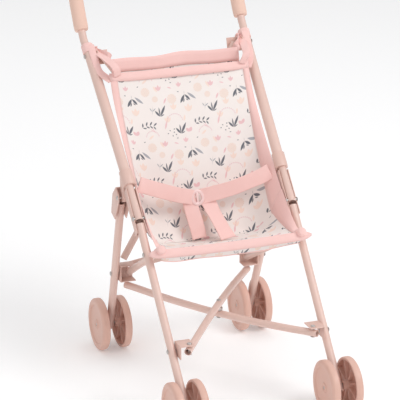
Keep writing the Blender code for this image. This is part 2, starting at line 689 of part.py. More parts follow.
def make_soft_parts():
    """Plain stand-ins for the sewn sling: back, seat with its front skirt, pocket, tapes and harness."""
    hem = Vector((0.0000, 0.4047))
    crease = Vector((-0.0930, 0.1960))
    bm = bmesh.new()
    cloth_panel(bm, [crease, crease.lerp(hem, 0.5) + Vector((0.004, 0.0)), hem], BACK_HALF, CLOTH_T)
    finish(bm, "seat_back", CLOTH_LOOK, at(0.0, KNEE))

    fold = Vector((-0.2010, 0.2110))
    bm = bmesh.new()
    cloth_panel(bm, [Vector((-0.0985, 0.1915)), Vector((-0.1500, 0.1975)), fold,
                     Vector((-0.2025, 0.2090)), Vector((-0.2000, 0.1985))], SEAT_HALF, CLOTH_T)
    finish(bm, "seat_pan", CLOTH_LOOK, at(0.0, RAIL_PIVOT))

    bm = bmesh.new()
    outline = [(0.006, 0.400), (0.026, 0.404), (0.014, 0.370), (-0.002, 0.336), (-0.022, 0.298),
               (-0.036, 0.300), (-0.030, 0.324)]
    add_plate(bm, outline, -POCKET_HALF, POCKET_HALF)
    finish(bm, "storage_pocket", CLOTH_LOOK, at(0.0, KNEE))

    centre = Vector((-0.008, -0.0800, 0.2440))
    bm = bmesh.new()
    add_block(bm, centre, (1, 0, 0), (0, 0.3, 1.0), (0.026, 0.020, 0.0022))
    harness = finish(bm, "harness", STRAP_LOOK, at(0.0, KNEE))
    bands = []
    for side in (-1, 1):
        outer = Vector((side * 0.090, -0.0960, 0.2700))
        inner = centre + Vector((side * 0.008, 0.0, 0.0))
        bands.append((inner, outer, (0, 0.3, 1.0), 0.015))
    bands.append((centre - Vector((0.006, 0, 0)), Vector((-0.016, -0.1130, 0.2020)), (1, 0, 0), 0.0125))
    bands.append((centre + Vector((0.006, 0, 0)), Vector((0.016, -0.1350, 0.2045)), (1, 0, 0), 0.0125))
    for count, (near, far, across, width) in enumerate(bands):
        bm = bmesh.new()
        add_block(bm, (near + far) / 2, far - near, across, ((far - near).length, width, 0.0016))
        add_boolean(harness, finish(bm, f"cut_band_{count}", STRAP_LOOK), "UNION")


def centre_on_floor():
    """Move everything along Y so that the origin is below the middle of the bounding box."""
    bpy.context.view_layer.update()
    reach = []
    for item in bpy.data.objects:
        if not item.hide_render:
            reach += [(item.matrix_world @ v.co).y for v in item.data.vertices]
    shift = -(min(reach) + max(reach)) / 2
    for item in bpy.data.objects:
        item.location.y += shift


def main():
    clear_scene()
    for side, word in ((-1, "left"), (1, "right")):
        make_handle(side, word)
        make_upper(side, word)
        make_knee_channel(side, word)
        make_front_leg(side, word)
        make_rear_leg(side, word)
        make_rail(side, word)
        make_rear_bracket(side, word)
        make_front_bracket(side, word)
        make_top_bracket(side, word)
        make_link_half(side, word)
        make_side_rivets(side, word)
        make_wheels(side, word, FRONT_AXLE, LEG_X_AXLE, "front")
        make_wheels(side, word, REAR_AXLE, REAR_X_AXLE, "rear")
    lower_names, back_names = ("lower_brace_a", "lower_brace_b"), ("back_brace_a", "back_brace_b")
    make_braces(LOW_FRONT, LOW_REAR, LOW_BRACE_X, lower_names, LOW_BOW, (7 * MM, 7 * MM))
    make_braces(BACK_TOP, BACK_REAR, BACK_BRACE_X, back_names, BACK_BOW, (6 * MM, 3 * MM))
    make_centre_pins()
    make_soft_parts()
    centre_on_floor()


main()
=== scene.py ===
import json
import math

import bmesh
import bpy
from mathutils import Matrix, Vector, noise as wander


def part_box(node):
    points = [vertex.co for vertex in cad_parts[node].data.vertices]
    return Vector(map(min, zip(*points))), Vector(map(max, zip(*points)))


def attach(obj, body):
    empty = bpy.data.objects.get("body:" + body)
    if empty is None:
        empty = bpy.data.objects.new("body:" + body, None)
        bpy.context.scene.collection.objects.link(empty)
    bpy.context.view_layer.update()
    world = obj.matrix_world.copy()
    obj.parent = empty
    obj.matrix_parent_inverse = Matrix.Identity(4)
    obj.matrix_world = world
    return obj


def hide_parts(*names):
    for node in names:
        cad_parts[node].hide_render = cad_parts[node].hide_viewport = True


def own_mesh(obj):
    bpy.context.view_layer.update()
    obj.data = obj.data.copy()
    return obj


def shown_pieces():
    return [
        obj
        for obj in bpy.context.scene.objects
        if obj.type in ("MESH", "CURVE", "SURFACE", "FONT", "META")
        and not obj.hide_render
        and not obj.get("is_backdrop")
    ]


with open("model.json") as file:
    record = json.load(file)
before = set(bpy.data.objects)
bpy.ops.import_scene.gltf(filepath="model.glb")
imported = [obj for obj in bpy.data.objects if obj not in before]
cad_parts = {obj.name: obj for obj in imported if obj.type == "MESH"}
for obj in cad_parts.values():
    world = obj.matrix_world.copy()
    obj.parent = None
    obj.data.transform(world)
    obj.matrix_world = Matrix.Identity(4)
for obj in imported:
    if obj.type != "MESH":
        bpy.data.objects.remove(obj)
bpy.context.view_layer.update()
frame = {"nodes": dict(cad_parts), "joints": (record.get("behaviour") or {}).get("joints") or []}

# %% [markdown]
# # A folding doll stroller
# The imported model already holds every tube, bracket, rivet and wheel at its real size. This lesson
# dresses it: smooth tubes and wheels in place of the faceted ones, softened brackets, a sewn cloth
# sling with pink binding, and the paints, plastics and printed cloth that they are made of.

MM = 0.001
pivot = {joint["name"]: Vector(joint["pos_m"]) for joint in frame["joints"]}
SIDES = {"left": -1, "right": 1}
rear_axle_y = pivot["rear_left_wheel_left_spin"].y


def side_view(y, z, x=0.0):
    """A point given in the side view, with y measured from the rear axle."""
    return Vector((x, rear_axle_y + y, z))


# %% [markdown]
# ## Camera and light
# The camera looks a little down and from the -X side of the stroller, through a long lens, so the two
# side frames stay nearly parallel. A wide pale floor and large soft lamps give the light of a studio
# sweep, with one faint shadow under the wheels.

# %% Camera
LOOKS_DOWN = 19.085
LOOKS_ACROSS = 20.352
camera_data = bpy.data.cameras.new("camera")
camera_data.lens = 208.04
camera_data.sensor_width = 36.0
camera_data.clip_end = 60.0
camera = bpy.data.objects.new("camera", camera_data)
camera.location = side_view(-2.9255, 1.2861, -1.0556)
camera.rotation_euler = (math.radians(90.0 - LOOKS_DOWN), 0.0, math.radians(-LOOKS_ACROSS))
bpy.context.scene.collection.objects.link(camera)
bpy.context.scene.camera = camera
bpy.context.scene.view_settings.view_transform = "Standard"
print("camera at", [round(c, 3) for c in camera.location])

# %% Floor, sky and lamps
floor_bm = bmesh.new()
bmesh.ops.create_grid(floor_bm, x_segments=1, y_segments=1, size=30.0)
floor_mesh = bpy.data.meshes.new("studio_floor")
floor_bm.to_mesh(floor_mesh)
floor_bm.free()
floor = bpy.data.objects.new("studio_floor", floor_mesh)
bpy.context.scene.collection.objects.link(floor)
floor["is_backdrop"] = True
floor_paint = bpy.data.materials.new("studio_paper")
floor_paint.use_nodes = True
floor_shader = floor_paint.node_tree.nodes["Principled BSDF"]
floor_shader.inputs["Base Color"].default_value = (0.90, 0.90, 0.90, 1.0)
floor_shader.inputs["Roughness"].default_value = 0.9
floor_shader.inputs["Specular IOR Level"].default_value = 0.1
floor_shader.inputs["Emission Color"].default_value = (1.0, 1.0, 1.0, 1.0)
floor_shader.inputs["Emission Strength"].default_value = 0.16
floor_mesh.materials.append(floor_paint)

sky = bpy.data.worlds.new("studio_sky")
sky.use_nodes = True
sky.node_tree.nodes["Background"].inputs["Color"].default_value = (0.92, 0.92, 0.93, 1.0)
sky.node_tree.nodes["Background"].inputs["Strength"].default_value = 0.62
bpy.context.scene.world = sky

LAMPS_AIM = Vector((0.0, 0.0, 0.25))


def add_lamp(name, place, power, size):
    """A soft square lamp that faces the middle of the stroller."""
    lamp_data = bpy.data.lights.new(name, "AREA")
    lamp_data.energy = power
    lamp_data.size = size
    lamp = bpy.data.objects.new(name, lamp_data)
    lamp.location = place
    lamp.rotation_euler = (LAMPS_AIM - Vector(place)).to_track_quat("-Z", "Y").to_euler()
    bpy.context.scene.collection.objects.link(lamp)


add_lamp("key_lamp", (1.3, -1.6, 2.3), 34.0, 1.4)
add_lamp("fill_lamp", (-2.2, -1.4, 1.6), 9.0, 2.0)
add_lamp("top_lamp", (0.2, 1.2, 2.6), 16.0, 2.2)
print("floor and three lamps are placed")

# %% [markdown]
# ## Materials
# The frame is steel tube under a satin powder coat in dusty rose. Brackets and wheels are moulded in
# the same colour, a little warmer. Every finish gets a slow drift of colour and a fine grain, so no
# surface is one flat value. The drift and the weave are groups, because several finishes share them.


# %% Node helpers
def link(tree, source, target):
    tree.links.new(source, target)


def new_group(name, inputs, outputs):
    """An empty shader group with its sockets, given as (kind, name, default)."""
    group = bpy.data.node_groups.new(name, "ShaderNodeTree")
    for kind, label, default in inputs:
        socket = group.interface.new_socket(label, in_out="INPUT", socket_type="NodeSocket" + kind)
        if default is not None:
            socket.default_value = default
    for kind, label in outputs:
        group.interface.new_socket(label, in_out="OUTPUT", socket_type="NodeSocket" + kind)
    return group, group.nodes.new("NodeGroupInput"), group.nodes.new("NodeGroupOutput")


def maths(tree, operation, *values, clamp=False):
    """A Math node whose inputs are numbers or sockets."""
    node = tree.nodes.new("ShaderNodeMath")
    node.operation = operation
    node.use_clamp = clamp
    for slot, value in zip(node.inputs, values):
        if isinstance(value, (int, float)):
            slot.default_value = value
        else:
            link(tree, value, slot)
    return node.outputs[0]


def vector_maths(tree, operation, *values):
    node = tree.nodes.new("ShaderNodeVectorMath")
    node.operation = operation
    for slot, value in zip(node.inputs, values):
        if isinstance(value, (tuple, list)):
            slot.default_value = value
        else:
            link(tree, value, slot)
    return node.outputs[0]


def split(tree, vector):
    """The X, Y and Z sockets of a vector."""
    node = tree.nodes.new("ShaderNodeSeparateXYZ")
    link(tree, vector, node.inputs[0])
    return node.outputs


# %% Shared effects: a drift of tone, and a plain weave
drift_group, drift_in, drift_out = new_group(
    "tone_drift", [("Vector", "Vector", None), ("Float", "Scale", 20.0), ("Color", "Light", None),
                   ("Color", "Dark", None)], [("Color", "Colour"), ("Float", "Value")])
noise = drift_group.nodes.new("ShaderNodeTexNoise")
noise.inputs["Detail"].default_value = 3.0
link(drift_group, drift_in.outputs["Vector"], noise.inputs["Vector"])
link(drift_group, drift_in.outputs["Scale"], noise.inputs["Scale"])
mix = drift_group.nodes.new("ShaderNodeMix")
mix.data_type = "RGBA"
link(drift_group, noise.outputs["Fac"], mix.inputs["Factor"])
link(drift_group, drift_in.outputs["Light"], mix.inputs["A"])
link(drift_group, drift_in.outputs["Dark"], mix.inputs["B"])
link(drift_group, mix.outputs["Result"], drift_out.inputs["Colour"])
link(drift_group, noise.outputs["Fac"], drift_out.inputs["Value"])

weave_group, weave_in, weave_out = new_group(
    "plain_weave", [("Vector", "Vector", None), ("Float", "Thread", 0.0006)], [("Float", "Height")])
scaled = weave_group.nodes.new("ShaderNodeVectorMath")
scaled.operation = "SCALE"
link(weave_group, weave_in.outputs["Vector"], scaled.inputs[0])
threads = maths(weave_group, "DIVIDE", math.pi, weave_in.outputs["Thread"])
link(weave_group, threads, scaled.inputs["Scale"])
parts = split(weave_group, scaled.outputs[0])
across = maths(weave_group, "SINE", parts["X"])
along = maths(weave_group, "SINE", parts["Y"])
woven = maths(weave_group, "MULTIPLY", across, along)
link(weave_group, maths(weave_group, "MULTIPLY_ADD", woven, 0.5, 0.5), weave_out.inputs["Height"])
print("groups:", [group.name for group in bpy.data.node_groups])


# %% Paint, moulded plastic, foam and steel
def place_group(tree, group, **values):
    node = tree.nodes.new("ShaderNodeGroup")
    node.node_tree = group
    for name, value in values.items():
        node.inputs[name].default_value = value
    return node


GLOSS_DRIFT = 0.14


def plain_finish(name, light, dark, roughness, grain, grain_size, metallic=0.0, coat=0.0, sheen=0.0):
    """A finish read from object coordinates: drifting tone, uneven gloss and a fine grain."""
    made = bpy.data.materials.new(name)
    made.use_nodes = True
    tree = made.node_tree
    shader = tree.nodes["Principled BSDF"]
    shader.inputs["Metallic"].default_value = metallic
    shader.inputs["Coat Weight"].default_value = coat
    shader.inputs["Coat Roughness"].default_value = 0.25
    shader.inputs["Sheen Weight"].default_value = sheen
    place = tree.nodes.new("ShaderNodeTexCoord").outputs["Object"]
    drift = place_group(tree, drift_group, Scale=26.0, Light=(*light, 1.0), Dark=(*dark, 1.0))
    link(tree, place, drift.inputs["Vector"])
    link(tree, drift.outputs["Colour"], shader.inputs["Base Color"])
    gloss = maths(tree, "MULTIPLY_ADD", drift.outputs["Value"], GLOSS_DRIFT, roughness - GLOSS_DRIFT / 2)
    link(tree, gloss, shader.inputs["Roughness"])
    fine = tree.nodes.new("ShaderNodeTexNoise")
    fine.inputs["Scale"].default_value = 1.0 / grain_size
    fine.inputs["Detail"].default_value = 2.0
    link(tree, place, fine.inputs["Vector"])
    bump = tree.nodes.new("ShaderNodeBump")
    bump.inputs["Strength"].default_value = grain
    bump.inputs["Distance"].default_value = 0.0004
    link(tree, fine.outputs["Fac"], bump.inputs["Height"])
    link(tree, bump.outputs["Normal"], shader.inputs["Normal"])
    return made


frame_paint = plain_finish("rose_powder_coat", (0.79, 0.57, 0.50), (0.75, 0.52, 0.45), 0.36, 0.08, 0.0012,
                           coat=0.25)
bracket_plastic = plain_finish("rose_moulding", (0.77, 0.54, 0.47), (0.72, 0.48, 0.41), 0.42, 0.10, 0.0009)
wheel_plastic = plain_finish("wheel_moulding", (0.75, 0.48, 0.395), (0.70, 0.42, 0.34), 0.44, 0.10, 0.0010)
grip_foam = plain_finish("grip_foam", (0.85, 0.59, 0.485), (0.81, 0.54, 0.44), 0.72, 0.35, 0.0008,
                         sheen=0.2)
rivet_steel = plain_finish("rivet_steel", (0.62, 0.58, 0.56), (0.52, 0.48, 0.46), 0.34, 0.10, 0.0006,
                           metallic=0.85)
ring_plastic = plain_finish("harness_plastic", (0.90, 0.66, 0.64), (0.87, 0.62, 0.60), 0.25, 0.04, 0.0010,
                            coat=0.3)
print("plain finishes:", len(bpy.data.materials))

# %% [markdown]
# ## Printed cloth
# The sling is a light woven cotton with a small repeating print: upright sprouts, pairs of hanging
# leaves, ferns, berries, tulips, round seed heads and arched sprigs on a cream ground. Each mark
# is one small shader group placed many times. It wraps round the edges of the repeat, so a mark
# that crosses an edge is whole. The cloth's UV map is in metres, so the print keeps its size.

# %% Helpers for the marks of the print
EDGE_SHARPNESS = 160.0
REPEAT_MAX, REPEAT_MIN = (0.5, 0.5, 0.5), (-0.5, -0.5, -0.5)


def from_root(group, group_in):
    """The way from a mark's root, wrapped so that a mark can cross the edge of the repeat."""
    offset = vector_maths(group, "SUBTRACT", group_in.outputs["Place"], group_in.outputs["Root"])
    return vector_maths(group, "WRAP", offset, REPEAT_MAX, REPEAT_MIN)


def flat_length(tree, parts):
    """The length of a vector without its Z."""
    flat = tree.nodes.new("ShaderNodeCombineXYZ")
    link(tree, parts["X"], flat.inputs["X"])
    link(tree, parts["Y"], flat.inputs["Y"])
    length = tree.nodes.new("ShaderNodeVectorMath")
    length.operation = "LENGTH"
    link(tree, flat.outputs[0], length.inputs[0])
    return length.outputs["Value"]


# %% The three marks of the print
leaf_group, leaf_in, leaf_out = new_group(
    "leaf_mark", [("Vector", "Place", None), ("Vector", "Root", None), ("Float", "Turn", 0.0),
                  ("Float", "Length", 0.1), ("Float", "Width", 0.02)], [("Float", "Mask")])
turned = leaf_group.nodes.new("ShaderNodeVectorRotate")
turned.rotation_type = "Z_AXIS"
turned.invert = True
link(leaf_group, from_root(leaf_group, leaf_in), turned.inputs["Vector"])
link(leaf_group, leaf_in.outputs["Turn"], turned.inputs["Angle"])
parts = split(leaf_group, turned.outputs[0])
share = maths(leaf_group, "DIVIDE", parts["X"], leaf_in.outputs["Length"])
rest = maths(leaf_group, "SUBTRACT", 1.0, share)
swell = maths(leaf_group, "MULTIPLY", maths(leaf_group, "MULTIPLY", share, rest), 4.0)
half = maths(leaf_group, "MULTIPLY", swell, leaf_in.outputs["Width"])
inside = maths(leaf_group, "SUBTRACT", half, maths(leaf_group, "ABSOLUTE", parts["Y"]))
leaf = maths(leaf_group, "MULTIPLY", inside, EDGE_SHARPNESS, clamp=True)
link(leaf_group, leaf, leaf_out.inputs["Mask"])

seed_group, seed_in, seed_out = new_group(
    "seed_head_mark", [("Vector", "Place", None), ("Vector", "Root", None), ("Float", "Radius", 0.06),
                       ("Float", "Rays", 14.0)], [("Float", "Mask")])
parts = split(seed_group, from_root(seed_group, seed_in))
angle = maths(seed_group, "ARCTAN2", parts["Y"], parts["X"])
spokes = maths(seed_group, "COSINE", maths(seed_group, "MULTIPLY", angle, seed_in.outputs["Rays"]))
reach = maths(seed_group, "DIVIDE", flat_length(seed_group, parts), seed_in.outputs["Radius"])
rings = maths(seed_group, "COSINE", maths(seed_group, "MULTIPLY", reach, 15.0))
pattern = maths(seed_group, "MULTIPLY_ADD", maths(seed_group, "MULTIPLY", spokes, rings), 0.5, 0.5)
edge = maths(seed_group, "MULTIPLY", maths(seed_group, "SUBTRACT", 1.0, reach), 6.0, clamp=True)
link(seed_group, maths(seed_group, "MULTIPLY", pattern, edge), seed_out.inputs["Mask"])

arch_group, arch_in, arch_out = new_group(
    "arch_mark", [("Vector", "Place", None), ("Vector", "Root", None), ("Float", "Radius", 0.1),
                  ("Float", "Width", 0.012)], [("Float", "Mask")])
parts = split(arch_group, from_root(arch_group, arch_in))
past = maths(arch_group, "SUBTRACT", flat_length(arch_group, parts), arch_in.outputs["Radius"])
off_line = maths(arch_group, "ABSOLUTE", past)
angle = maths(arch_group, "ARCTAN2", parts["Y"], parts["X"])
wave = maths(arch_group, "COSINE", maths(arch_group, "MULTIPLY", angle, 26.0))
beads = maths(arch_group, "MULTIPLY_ADD", wave, 0.5, 0.8)
width = maths(arch_group, "MULTIPLY", beads, arch_in.outputs["Width"])
inside = maths(arch_group, "SUBTRACT", width, off_line)
line = maths(arch_group, "MULTIPLY", inside, EDGE_SHARPNESS, clamp=True)
upper = maths(arch_group, "MULTIPLY", parts["Y"], 60.0, clamp=True)
link(arch_group, maths(arch_group, "MULTIPLY", line, upper), arch_out.inputs["Mask"])
print("print marks are ready")


# %% The motifs of one repeat: (root, turn in degrees, length, width), in shares of the repeat
def sprout(x, y):
    """Three upright leaves and a low one from one root."""
    return [((x, y), 60, 0.235, 0.024), ((x, y), 128, 0.150, 0.022), ((x, y), 93, 0.180, 0.015),
            ((x, y), 26, 0.095, 0.012)]


def hanging_pair(x, y):
    """Two leaves that hang from one point by a stem, with two small ones between them."""
    return [((x, y), -122, 0.185, 0.027), ((x, y), -50, 0.150, 0.024),
            ((x - 0.01, y - 0.07), -110, 0.085, 0.013), ((x + 0.01, y - 0.08), -35, 0.070, 0.012),
            ((x, y + 0.07), -95, 0.08, 0.005)]


def fern(x, y, turn):
    """Pairs of small leaves along a curve."""
    marks = []
    for step in range(4):
        heading = turn - 16 * (step - 1.5)
        x += 0.070 * math.cos(math.radians(heading))
        y += 0.070 * math.sin(math.radians(heading))
        marks.append(((x, y), heading + 48, 0.092, 0.017))
        marks.append(((x, y), heading - 48, 0.080, 0.015))
    return marks


def berries(x, y, count, spread):
    """Loose small marks round a point, spread evenly by a turn of 2.4 radians each."""
    marks = []
    for i in range(count):
        angle = 2.4 * i
        reach = spread * math.sqrt((i + 0.5) / count)
        root = (x + reach * math.cos(angle), y + reach * math.sin(angle))
        marks.append((root, 57.3 * angle, 0.034, 0.012))
    return marks


def tulip(x, y, size=1.0):
    """Three short petals from one root."""
    return [((x, y), 90, 0.125 * size, 0.028 * size), ((x, y), 122, 0.115 * size, 0.022 * size),
            ((x, y), 58, 0.115 * size, 0.022 * size)]


NAVY = [*sprout(0.51, 0.74), *sprout(0.86, 0.40), *hanging_pair(0.02, 0.10),
        *berries(0.695, 0.440, 6, 0.070), *fern(0.10, 0.52, 14), ((0.76, 0.33), 0, 0.045, 0.010),
        ((0.135, 0.30), 20, 0.042, 0.010), ((0.88, 0.16), -10, 0.045, 0.010)]
SLATE = [((0.07, 0.13), -40, 0.21, 0.026), ((0.36, 0.76), 80, 0.20, 0.006), ((0.37, 0.84), 40, 0.10, 0.012),
         ((0.37, 0.84), 118, 0.09, 0.011)]
PINK = [*tulip(0.535, 0.20, 0.9), *tulip(0.93, 0.24, 0.8), ((0.02, 0.42), 60, 0.100, 0.034),
        ((0.02, 0.42), 128, 0.095, 0.030), ((0.57, 0.50), 72, 0.17, 0.020), ((0.388, 0.45), 118, 0.19, 0.008),
        ((0.27, 0.56), -40, 0.19, 0.008), ((0.70, 0.26), -20, 0.10, 0.014), ((0.60, 0.96), 60, 0.13, 0.020)]
PEACH = [*tulip(0.06, 0.78, 1.2), *tulip(0.64, 0.62), *tulip(0.78, 0.84), ((0.24, 0.35), 35, 0.13, 0.022),
         ((0.44, 0.30), -60, 0.14, 0.024), ((0.95, 0.62), 80, 0.12, 0.022)]
PEACH_HEADS = [((0.767, 0.04), 0.095), ((0.283, 0.20), 0.088), ((0.45, 0.06), 0.060)]
MAUVE_ARCHES = [((0.775, 0.62), 0.150), ((0.32, 0.38), 0.120)]
marks_in_all = sum(len(group) for group in (NAVY, SLATE, PINK, PEACH, PEACH_HEADS, MAUVE_ARCHES))
print("one repeat has", marks_in_all, "marks")


# %% The printed cloth and the plain pink cloth
def overlay(tree, total, mask):
    """The stronger of two masks, joined as soon as both exist so that the shader stays small."""
    return mask if total is None else maths(tree, "MAXIMUM", total, mask)


def tint(tree, base, mask, colour, strength):
    """The base colour, with another laid over it where the mask is."""
    node = tree.nodes.new("ShaderNodeMix")
    node.data_type = "RGBA"
    link(tree, maths(tree, "MULTIPLY", mask, strength), node.inputs["Factor"])
    link(tree, base, node.inputs["A"])
    node.inputs["B"].default_value = (*colour, 1.0)
    return node.outputs["Result"]


def add_weave(tree, shader, place, thread, creases):
    """Weave and soft creases, as bump on the shader."""
    weave = place_group(tree, weave_group, Thread=thread)
    link(tree, place, weave.inputs["Vector"])
    soft = tree.nodes.new("ShaderNodeTexNoise")
    soft.inputs["Scale"].default_value = 34.0
    soft.inputs["Detail"].default_value = 2.0
    link(tree, place, soft.inputs["Vector"])
    rough = tree.nodes.new("ShaderNodeBump")
    rough.inputs["Strength"].default_value = creases
    rough.inputs["Distance"].default_value = 0.004
    link(tree, soft.outputs["Fac"], rough.inputs["Height"])
    fine = tree.nodes.new("ShaderNodeBump")
    fine.inputs["Strength"].default_value = 0.25
    fine.inputs["Distance"].default_value = 0.0002
    link(tree, weave.outputs["Height"], fine.inputs["Height"])
    link(tree, rough.outputs["Normal"], fine.inputs["Normal"])
    link(tree, fine.outputs["Normal"], shader.inputs["Normal"])
    return weave.outputs["Height"]


PRINT_REPEAT = 0.078
print_cloth = bpy.data.materials.new("leaf_print_cotton")
print_cloth.use_nodes = True
tree = print_cloth.node_tree
shader = tree.nodes["Principled BSDF"]
shader.inputs["Roughness"].default_value = 0.88
shader.inputs["Sheen Weight"].default_value = 0.15
shader.inputs["Specular IOR Level"].default_value = 0.25
cloth_place = tree.nodes.new("ShaderNodeTexCoord").outputs["UV"]
tile = tree.nodes.new("ShaderNodeVectorMath")
tile.operation = "SCALE"
tile.inputs["Scale"].default_value = 1.0 / PRINT_REPEAT
link(tree, cloth_place, tile.inputs[0])
drift = place_group(tree, drift_group, Scale=8.0, Light=(0.90, 0.84, 0.81, 1.0),
                    Dark=(0.87, 0.79, 0.75, 1.0))
link(tree, cloth_place, drift.inputs["Vector"])
colour = drift.outputs["Colour"]


def leaf_mask(marks):
    """Where any of a list of leaves is."""
    total = None
    for root, turn, length, width in marks:
        node = place_group(tree, leaf_group, Root=(*root, 0.0), Turn=math.radians(turn), Length=length,
                           Width=width)
        link(tree, tile.outputs[0], node.inputs["Place"])
        total = overlay(tree, total, node.outputs["Mask"])
    return total


def round_mask(marks, group):
    """Where any of a list of seed heads or arches is."""
    total = None
    for root, radius in marks:
        node = place_group(tree, group, Root=(*root, 0.0), Radius=radius)
        link(tree, tile.outputs[0], node.inputs["Place"])
        total = overlay(tree, total, node.outputs["Mask"])
    return total


colour = tint(tree, colour, leaf_mask(PEACH), (0.90, 0.62, 0.48), 0.50)
colour = tint(tree, colour, round_mask(PEACH_HEADS, seed_group), (0.80, 0.50, 0.34), 0.60)
colour = tint(tree, colour, round_mask(MAUVE_ARCHES, arch_group), (0.74, 0.46, 0.50), 0.55)
colour = tint(tree, colour, leaf_mask(PINK), (0.78, 0.38, 0.42), 0.62)
colour = tint(tree, colour, leaf_mask(SLATE), (0.26, 0.28, 0.33), 0.75)
colour = tint(tree, colour, leaf_mask(NAVY), (0.065, 0.080, 0.110), 0.90)
link(tree, colour, shader.inputs["Base Color"])
add_weave(tree, shader, cloth_place, 0.0006, 0.35)

pink_cloth = bpy.data.materials.new("pink_tape")
pink_cloth.use_nodes = True
tree = pink_cloth.node_tree
shader = tree.nodes["Principled BSDF"]
shader.inputs["Roughness"].default_value = 0.82
shader.inputs["Sheen Weight"].default_value = 0.25
shader.inputs["Specular IOR Level"].default_value = 0.25
cloth_place = tree.nodes.new("ShaderNodeTexCoord").outputs["UV"]
drift = place_group(tree, drift_group, Scale=30.0, Light=(0.94, 0.65, 0.61, 1.0),
                    Dark=(0.91, 0.59, 0.55, 1.0))
link(tree, cloth_place, drift.inputs["Vector"])
weave_height = add_weave(tree, shader, cloth_place, 0.0009, 0.22)
# Painted shade: the tape's colour is darkened where the weave is low, between the threads.
between_threads = maths(tree, "SUBTRACT", 1.0, weave_height)
tape_with_painted_shade = tint(tree, drift.outputs["Colour"], between_threads, (0.80, 0.42, 0.40), 0.18)
link(tree, tape_with_painted_shade, shader.inputs["Base Color"])
print("cloths:", print_cloth.name, pink_cloth.name)

# %% [markdown]
# ## Making pieces
# A tube is a row of circles bridged into a skin: down the outside, round the rim and back up the
# bore. Turned shapes such as wheels and rivets are a profile spun about their axle. A bracket needs
# no new shape: a copy of the solid is merged, its flat faces are joined up, and a small bevel softens
# its edges as a mould does.


# %% Helpers that make pieces
def give(name, bm, look, body, replaced=(), angle=40.0):
    """Turn a bmesh in frame coordinates into a piece that rides on a body."""
    mesh = bpy.data.meshes.new(name)
    bm.to_mesh(mesh)
    bm.free()
    mesh.shade_smooth()
    mesh.set_sharp_from_angle(angle=math.radians(angle))
    mesh.materials.append(look)
    piece = bpy.data.objects.new(name, mesh)
    bpy.context.scene.collection.objects.link(piece)
    if replaced:
        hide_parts(*replaced)
    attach(piece, body)
    return piece


def circle(bm, centre, direction, radius, segments):
    """A ring of edges across a direction, always started from the same side."""
    direction = direction.normalized()
    start = Vector((1.0, 0.0, 0.0))
    if abs(direction.x) > 0.9:
        start = Vector((0.0, 0.0, 1.0))
    start = (start - direction * start.dot(direction)).normalized()
    basis = Matrix((start, direction.cross(start), direction)).transposed().to_4x4()
    place = Matrix.Translation(centre) @ basis
    made = bmesh.ops.create_circle(bm, segments=segments, radius=radius, matrix=place)
    return list({edge for vert in made["verts"] for edge in vert.link_edges})


def directions(points):
    """The way that a line of points runs at each of them."""
    ways = []
    for i in range(len(points)):
        ways.append((points[min(i + 1, len(points) - 1)] - points[max(i - 1, 0)]).normalized())
    return ways


def bridge_all(bm, rings, closed=False):
    """Skin a row of rings, and join the last to the first for a closed shape."""
    pairs = list(zip(rings, rings[1:]))
    if closed:
        pairs.append((rings[-1], rings[0]))
    for near, far in pairs:
        bmesh.ops.bridge_loops(bm, edges=near + far)
    bmesh.ops.recalc_face_normals(bm, faces=bm.faces)


TUBE_SEGMENTS = 36
RIM = 0.35 * MM


def tube_shape(points, outer, inner):
    """A pipe through points with rounded rims."""
    bm = bmesh.new()
    ways = directions(points)
    first, last = points[0], points[-1]
    rings = [circle(bm, first + ways[0] * RIM, ways[0], outer, TUBE_SEGMENTS)]
    rings += [circle(bm, p, w, outer, TUBE_SEGMENTS) for p, w in zip(points[1:-1], ways[1:-1])]
    rings.append(circle(bm, last - ways[-1] * RIM, ways[-1], outer, TUBE_SEGMENTS))
    rings.append(circle(bm, last, ways[-1], outer - RIM, TUBE_SEGMENTS))
    rings.append(circle(bm, last, ways[-1], inner, TUBE_SEGMENTS))
    rings += [circle(bm, p, w, inner, TUBE_SEGMENTS) for p, w in zip(points[1:-1][::-1], ways[1:-1][::-1])]
    rings.append(circle(bm, first, ways[0], inner, TUBE_SEGMENTS))
    rings.append(circle(bm, first, ways[0], outer - RIM, TUBE_SEGMENTS))
    bridge_all(bm, rings, closed=True)
    return bm


def capped_shape(points, radii, segments=TUBE_SEGMENTS):
    """A solid of round sections, closed at both ends."""
    bm = bmesh.new()
    ways = directions(points)
    rings = [circle(bm, p, w, r, segments) for p, w, r in zip(points, ways, radii)]
    bridge_all(bm, rings)
    bmesh.ops.holes_fill(bm, edges=[e for e in bm.edges if e.is_boundary], sides=0)
    bmesh.ops.recalc_face_normals(bm, faces=bm.faces)
    return bm


def turned_shape(profile, centre, axis, segments, closed=False):
    """Spin (along, radius) points about an axis through a centre."""
    axis = Vector(axis).normalized()
    side = axis.orthogonal().normalized()
    bm = bmesh.new()
    verts = [bm.verts.new(centre + axis * along + side * radius) for along, radius in profile]
    edges = [bm.edges.new(pair) for pair in zip(verts, verts[1:])]
    if closed:
        edges.append(bm.edges.new((verts[-1], verts[0])))
    bmesh.ops.spin(bm, geom=verts + edges, cent=centre, axis=axis, angle=math.tau, steps=segments,
                   use_merge=True)
    bmesh.ops.remove_doubles(bm, verts=bm.verts, dist=1e-6)
    bmesh.ops.recalc_face_normals(bm, faces=bm.faces)
    return bm


def merge_into(bm, other):
    """Add a second bmesh's shape to the first."""
    mesh = bpy.data.meshes.new("part")
    other.to_mesh(mesh)
    other.free()
    bm.from_mesh(mesh)
    bpy.data.meshes.remove(mesh)


